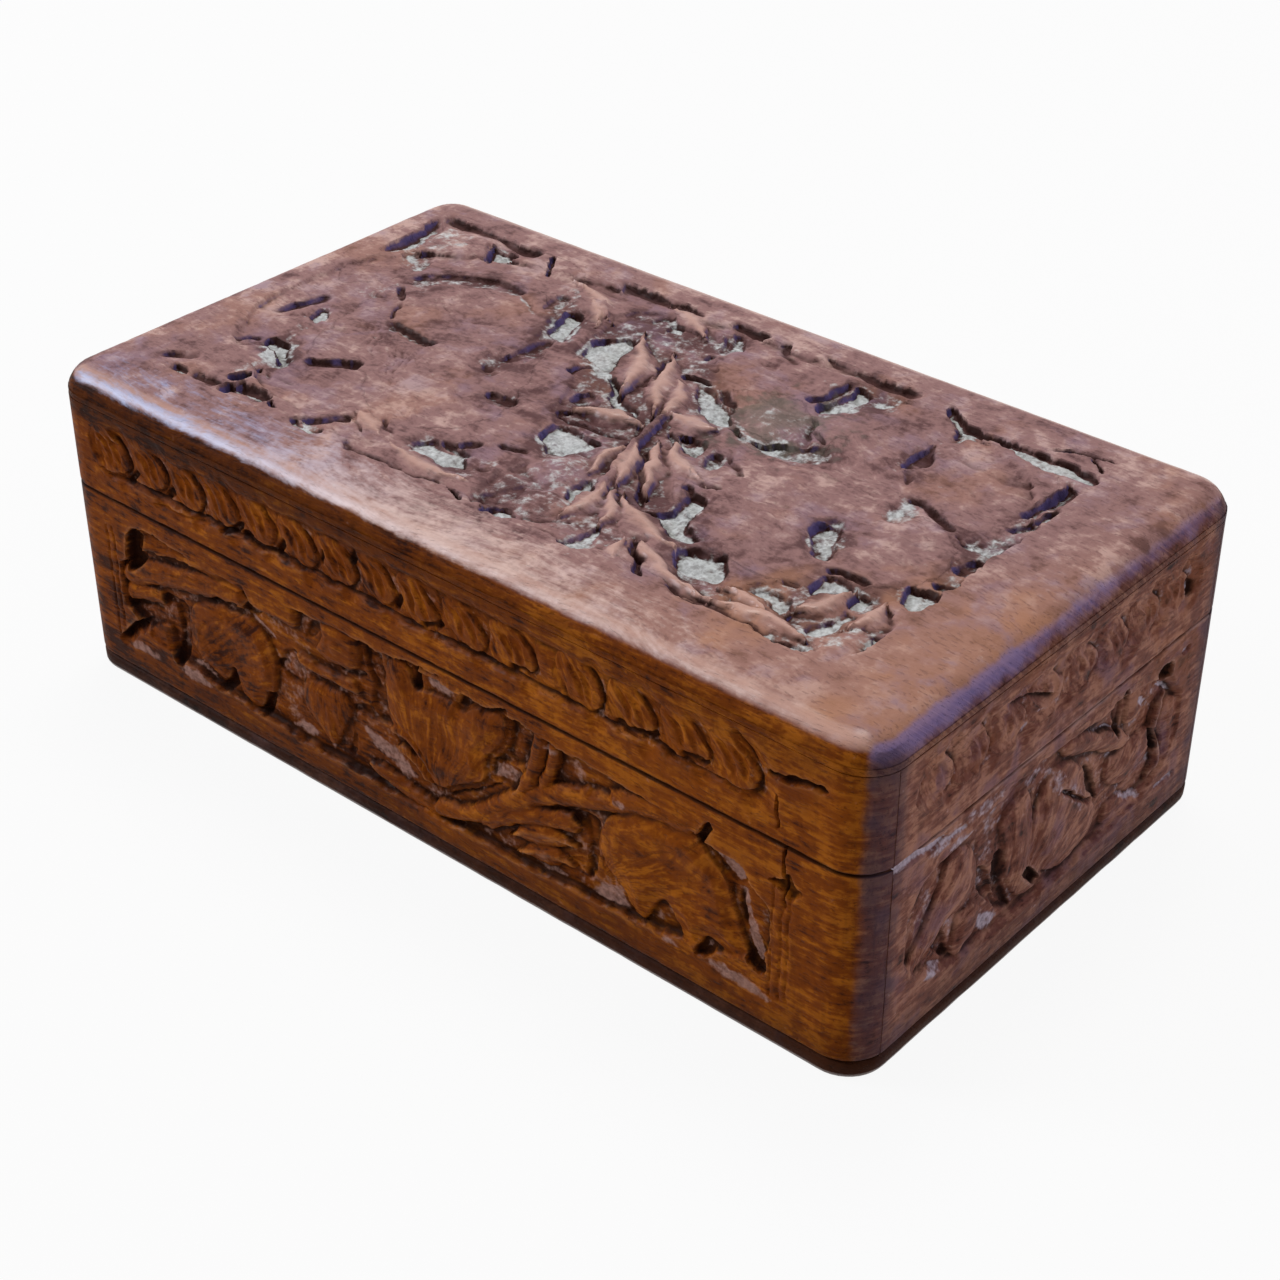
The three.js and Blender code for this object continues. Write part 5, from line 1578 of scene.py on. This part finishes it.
# Each face has its own set of colours. Besides the wood's own colour these hold painted light: a pinkish
# painted sheen on the top, warm painted light on the long sides and cool violet painted light on the ends
tones = ("dark", "middle", "light", "warm", "cool", "grime", "polish", "dust",
         "wall_from_front", "violet_lit_wall")
top_as_lit = dict(zip(tones, (
    seen(96, 67, 67), seen(146, 111, 108), seen(194, 161, 152), seen(172, 124, 98), seen(128, 109, 132),
    seen(58, 32, 30), seen(196, 152, 136), seen(212, 217, 216), seen(40, 18, 14), seen(82, 72, 118))))
long_side_as_lit = dict(zip(tones, (
    seen(54, 19, 3), seen(122, 58, 7), seen(172, 97, 22), seen(154, 79, 9), seen(92, 38, 13),
    seen(28, 8, 2), seen(186, 114, 50), seen(180, 138, 124), seen(24, 7, 2), seen(34, 11, 4))))
end_as_lit = dict(zip(tones, (
    seen(53, 27, 23), seen(123, 74, 60), seen(176, 124, 100), seen(154, 90, 46), seen(102, 76, 98),
    seen(28, 11, 10), seen(190, 148, 132), seen(216, 200, 208), seen(20, 7, 5), seen(36, 16, 16))))
on_base = dict(zip(tones, (
    seen(28, 14, 9), seen(56, 30, 20), seen(86, 54, 40), seen(66, 34, 18), seen(54, 42, 48),
    seen(18, 9, 7), seen(110, 82, 72), seen(110, 92, 86), seen(16, 8, 7), seen(16, 8, 7))))


def wood_finish(name, fibres_along, top, side, end, streakiness=1.0):
    wood = Finish(name)

    def mark(mark_name):
        return wood.node("ShaderNodeAttribute", {"attribute_name": mark_name}, output=2)

    # The fibres wander a little, so every place is pushed aside by a slow noise
    place = place_in_millimetres(wood)
    drift_noise = wood.node("ShaderNodeTexNoise", None, {"Vector": place, "Scale": 0.035, "Detail": 2.0}, 1)
    drift = stretched(wood, drift_noise, (9.0, 9.0, 9.0))
    bent = wood.node("ShaderNodeVectorMath", {"operation": "ADD"}, {0: place, 1: drift})
    fibres, fine = (
        stretched(wood, bent, tuple(factor if axis == fibres_along else 1.0 for axis in "xyz"))
        for factor in (0.10, 0.22))
    at_x, at_y, at_z = (wood.node("ShaderNodeSeparateXYZ", None, {0: place}, axis) for axis in range(3))
    upright, endwise = mark("upright"), mark("endwise")
    hollow, proud, wall, sideways = mark("hollow"), mark("proud"), mark("wall"), mark("sideways")
    deep, dusty, worn, inside = mark("deep"), mark("dust"), mark("worn"), mark("inside")

    streaks = noise(wood, fibres, 0.40, 4.0, 0.62)
    vein_place = wood.node("ShaderNodeCombineXYZ", None, {
        0: mark("vein_across"), 1: mark("vein_along") * 0.16})
    threads = noise(wood, vein_place, 1.25, 3.0, 0.6)
    pores = limit(wood, noise(wood, fine, 3.0, 1.0, 0.4), 0.60, 0.72)
    mottle = noise(wood, place, 0.20, 4.0, 0.62)
    blotches = noise(wood, place, 0.05, 3.0, 0.55)
    specks = noise(wood, place, 1.3, 3.0, 0.6)
    coarse = noise(wood, place, 0.45, 2.0, 0.5)

    # Where one face turns into another, the two sets of colours meet in an uneven line
    turning = (coarse - 0.5) * 0.5 * (1 - upright) * upright * 4
    upright = limit(wood, upright + turning, 0.15, 0.85)
    endwise = limit(wood, endwise + (mottle - 0.5) * 0.9 * (1 - endwise) * endwise * 4, 0.1, 0.9)

    def tone(tone_name):
        sides = mix_colours(wood, endwise, side[tone_name], end[tone_name])
        return mix_colours(wood, upright, top[tone_name], sides)

    # The figure of the wood goes from dark through middle to light
    figure = (streaks - 0.5) * (0.8 * streakiness) + (threads - 0.5) * (0.45 + upright * 0.85)
    figure = figure + (coarse - 0.5) * 0.6 + (mottle - 0.5) * (1.2 - upright * 0.6 + endwise * 0.85)
    figure = figure + (blotches - 0.5) * 0.7 + (specks - 0.5) * 0.5 + 0.5
    lighter_right = (at_x * 0.0019 + 0.02) * upright
    # Painted shade: the top is darker where the lid is carved deep round about
    painted_shade_round_pits = (0.05 - limit(wood, mark("around"), 0.5, 1.1) * 0.28) * (1 - upright)
    figure = figure + lighter_right + painted_shade_round_pits
    colour = mix_colours(wood, limit(wood, figure, 0.12, 0.50), tone("dark"), tone("middle"))
    colour = mix_colours(wood, limit(wood, figure, 0.50, 0.92), colour, tone("light"))
    warm_patch = limit(wood, noise(wood, bent, 0.07, 3.0, 0.6), 0.50, 0.66)
    cool_patch = limit(wood, noise(wood, drift, 0.9, 2.0, 0.5) * 0.5 + mottle * 0.5, 0.50, 0.64)
    towards_corner = limit(wood, at_x - at_y * 1.3, 44.0, 90.0) * 0.5 + limit(wood, at_x, 57.0, 72.0) * 0.3
    warm = warm_patch * 0.45 + towards_corner * (1 - upright)
    colour = mix_colours(wood, limit(wood, warm, 0.0, 1.3), colour, tone("warm"))
    colour = mix_colours(wood, cool_patch * (0.35 + endwise * 0.2), colour, tone("cool"))
    colour = mix_colours(wood, pores * 0.3, colour, tone("dark"))

    # Grime and painted shade lie in the hollows and deep cuts; the walls of the pits get painted shade where
    # they face the front and painted violet light where they face sideways
    grime_and_shade_share = limit(wood, hollow * 1.15 + deep * 0.25 + (coarse - 0.5) * 0.6, 0.16, 0.95)
    colour = mix_colours(wood, grime_and_shade_share * 0.90, colour, tone("grime"))
    # Painted shade on the walls of the cuts that face the front, painted violet light on those that face
    # sideways
    violet_lit_share = limit(wood, sideways, 0.58, 0.88)
    painted_wall_colour = mix_colours(wood, violet_lit_share, tone("wall_from_front"), tone("violet_lit_wall"))
    painted_wall_share = wall * limit(wood, deep + hollow * 0.6 + 0.1, 0.05, 0.6)
    colour = mix_colours(wood, painted_wall_share * 0.92, colour, painted_wall_colour)

    # Polish and painted highlights on what stands proud, on the leaves' keels and along the round edge of the
    # lid, and dark runs down the sides
    polish_streaks = (threads - 0.5) * (0.3 + upright * 0.3)
    polish_and_highlight_share = limit(wood, proud * (upright * 0.3 + 0.3) + worn * 0.9 + polish_streaks, 0.25, 1.0)
    colour = mix_colours(wood, polish_and_highlight_share * (0.72 - upright * 0.12), colour, tone("polish"))
    runs = noise(wood, stretched(wood, place, (0.55, 0.55, 0.06)), 1.0, 3.0, 0.6)
    colour = mix_colours(wood, limit(wood, runs, 0.54, 0.70) * upright * 0.2, colour, tone("dark"))

    # Painted shade in darker bands under the round edge of the lid, and darker towards the foot of the walls
    painted_shade_under_edge = limit(wood, at_z + (coarse - 0.5) * 3, 43.0, 47.0) * upright * (1 - endwise)
    painted_shade_under_edge = painted_shade_under_edge * (0.2 + limit(wood, at_x, 40.0, -45.0) * 0.4)
    colour = mix_colours(wood, painted_shade_under_edge, colour, tone("grime"))
    # Painted shade under the round edge on the ends too
    painted_shade_end_edge = limit(wood, at_z + (coarse - 0.5) * 2, 45.5, 48.5) * upright * endwise
    colour = mix_colours(wood, painted_shade_end_edge * 0.32, colour, tone("grime"))
    # Darker towards the foot of the walls
    low_grime = limit(wood, 10.0 - at_z + (mottle - 0.5) * 12, 0.0, 8.0) * upright
    colour = mix_colours(wood, low_grime * 0.4, colour, tone("grime"))

    # Painted sheen: a pale painted highlight where its mark is above nought, a painted violet reflection
    # where it is below
    bloom = mark("bloom")
    brushed = noise(wood, fine, 1.0, 3.0, 0.65)
    uneven = (brushed - 0.5) * 1.2 + (specks - 0.5) * 0.4 + (mottle - 0.5) * 0.7
    pale_bloom = limit(wood, bloom + uneven * limit(wood, bloom, 0.0, 0.35), 0.22, 1.0)
    bloom_tone = mix_colours(wood, limit(wood, at_x, -55.0, 0.0), seen(162, 180, 222), seen(226, 198, 188))
    colour = mix_colours(wood, pale_bloom * 0.70, colour, bloom_tone)
    # The painted violet reflection on the right edge
    blue_bloom = limit(wood, 0 - bloom + (mottle - 0.5) * 1.1 * limit(wood, 0 - bloom, 0.0, 0.3), 0.12, 0.80)
    colour = mix_colours(wood, blue_bloom * 0.66, colour, seen(130, 117, 166))

    # Darker violet streaks down the upright corners, a grey-green smudge on the lid, and dust in the pits
    far_x, far_y = (wood.node("ShaderNodeMath", {"operation": "ABSOLUTE"}, {0: at}) for at in (at_x, at_y))
    by_corner = limit(wood, far_x, 71.0, 74.0) * limit(wood, far_y, 31.0, 37.5) * upright
    darker_at_corners = limit(wood, by_corner + (runs - 0.5) * 0.4 + (mottle - 0.5) * 1.3, 0.40, 1.15)
    colour = mix_colours(wood, darker_at_corners * 0.74, colour, seen(62, 46, 58))
    smudge_place = (17.0, 14.0, 52.0)
    from_smudge = wood.node("ShaderNodeVectorMath", {"operation": "DISTANCE"}, {0: place, 1: smudge_place}, 1)
    smudge = limit(wood, from_smudge + (mottle - 0.5) * 34 + (coarse - 0.5) * 16, 11.0, 1.0) * (1 - upright)
    colour = mix_colours(wood, smudge * 0.5, colour, seen(108, 106, 96))
    dust_mask = limit(wood, dusty + (specks - 0.5) * 1.0 + (coarse - 0.5) * 1.3, 0.32, 0.96)
    dull_dust = mix_colours(wood, 0.45, tone("dust"), tone("grime"))
    dust_tone = mix_colours(wood, limit(wood, specks, 0.3, 0.7), dull_dust, tone("dust"))
    colour = mix_colours(wood, dust_mask * 0.88 * (1 - painted_wall_share * 0.8), colour, dust_tone)

    # The inside was never stained or waxed
    raw = mix_colours(wood, 0.6, colour, seen(112, 76, 50))
    colour = mix_colours(wood, inside, colour, raw)

    # Dust and grime are dull, and only rubbed wood shines
    roughness = 0.52 + (threads - 0.5) * 0.18 + (mottle - 0.5) * 0.25 - polish_and_highlight_share * 0.14
    roughness = roughness + dust_mask * 0.35 + grime_and_shade_share * 0.12 + inside * 0.25
    height = (threads - 0.5) * 1.3 - pores * 0.5 + (specks - 0.5) * 0.35 * (1 + dust_mask * 3)
    bump = wood.node("ShaderNodeBump", None, {"Strength": 0.7, "Distance": 0.00018, "Height": height})
    waxed = limit(wood, worn + (mottle - 0.5) * 0.7 + (brushed - 0.5) * 1.2, 0.15, 1.0) * 0.8
    waxed = (waxed + proud * 0.12 + 0.01) * (1 - endwise * 0.75)
    wood.set(Base_Color=colour, Roughness=roughness, Normal=bump, Coat_Weight=(1 - dust_mask) * waxed,
             Coat_Roughness=0.38, Specular_IOR_Level=0.04)
    return wood.material


long_wood = wood_finish("waxed wood with long fibres", "x", top_as_lit, long_side_as_lit, end_as_lit)
short_wood = wood_finish("waxed wood with short fibres", "y", top_as_lit, long_side_as_lit, end_as_lit, 0.8)
lid_wood = wood_finish("waxed wood of the lid", "x", top_as_lit, long_side_as_lit, end_as_lit, 0.5)
base_wood = wood_finish("dark wood of the base", "x", on_base, on_base, on_base)
print("Four wood finishes")

# %% [markdown]
# ## Aged brass
# The hinges are small pressed brass, dulled by time. Metal takes its colour from what it mirrors,
# so the material is metallic with a rough, blotchy surface: brown tarnish in random blotches, and
# fine scratches from the brush that once cleaned them.
# %% Brass finish
brass = Finish("aged brass")
brass_place = place_in_millimetres(brass)
tarnish = limit(brass, noise(brass, brass_place, 0.55, 4.0, 0.6), 0.35, 0.68)
scratches = noise(brass, stretched(brass, brass_place, (0.3, 6.0, 6.0)), 1.2, 2.0, 0.6)
brass_colour = mix_colours(brass, tarnish, seen(188, 150, 82), seen(96, 68, 38))
brass_bump = brass.node("ShaderNodeBump", None, {
    "Strength": 0.4, "Distance": 0.00005, "Height": scratches + tarnish * 0.5})
brass.set(Base_Color=brass_colour, Metallic=1.0 - tarnish * 0.25,
          Roughness=0.30 + tarnish * 0.3 + (scratches - 0.5) * 0.2, Normal=brass_bump)
print("Brass for", sum("hinge" in node for node in frame["nodes"]), "hinge pieces")

# %% [markdown]
# ## Fitting everything to the moving frame
# Each new board takes over from its CAD node and rides on the body of that node, so the lid's
# boards turn with the lid. The hinge pieces stay as the CAD model made them and only get brass.
# %% Pieces and bodies
body_of_node = {}
for body, members in frame["record"]["behaviour"]["bodies"].items():
    for member in members:
        body_of_node[member] = body

for node, board in boards.items():
    if node == "lid_top_board":
        material, slot = lid_wood, "top_wood"
    elif node == "base_board":
        material, slot = base_wood, "base_wood"
    elif "front" in node or "back" in node:
        material, slot = long_wood, "side_wood"
    else:
        material, slot = short_wood, "side_wood"
    board.data.materials.clear()
    board.data.materials.append(material)
    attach(board, body_of_node[node])
    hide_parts(node)

for node, piece in frame["nodes"].items():
    if "hinge" in node:
        for place in piece.material_slots:
            place.material = brass.material
print(len(boards), "boards are fitted")
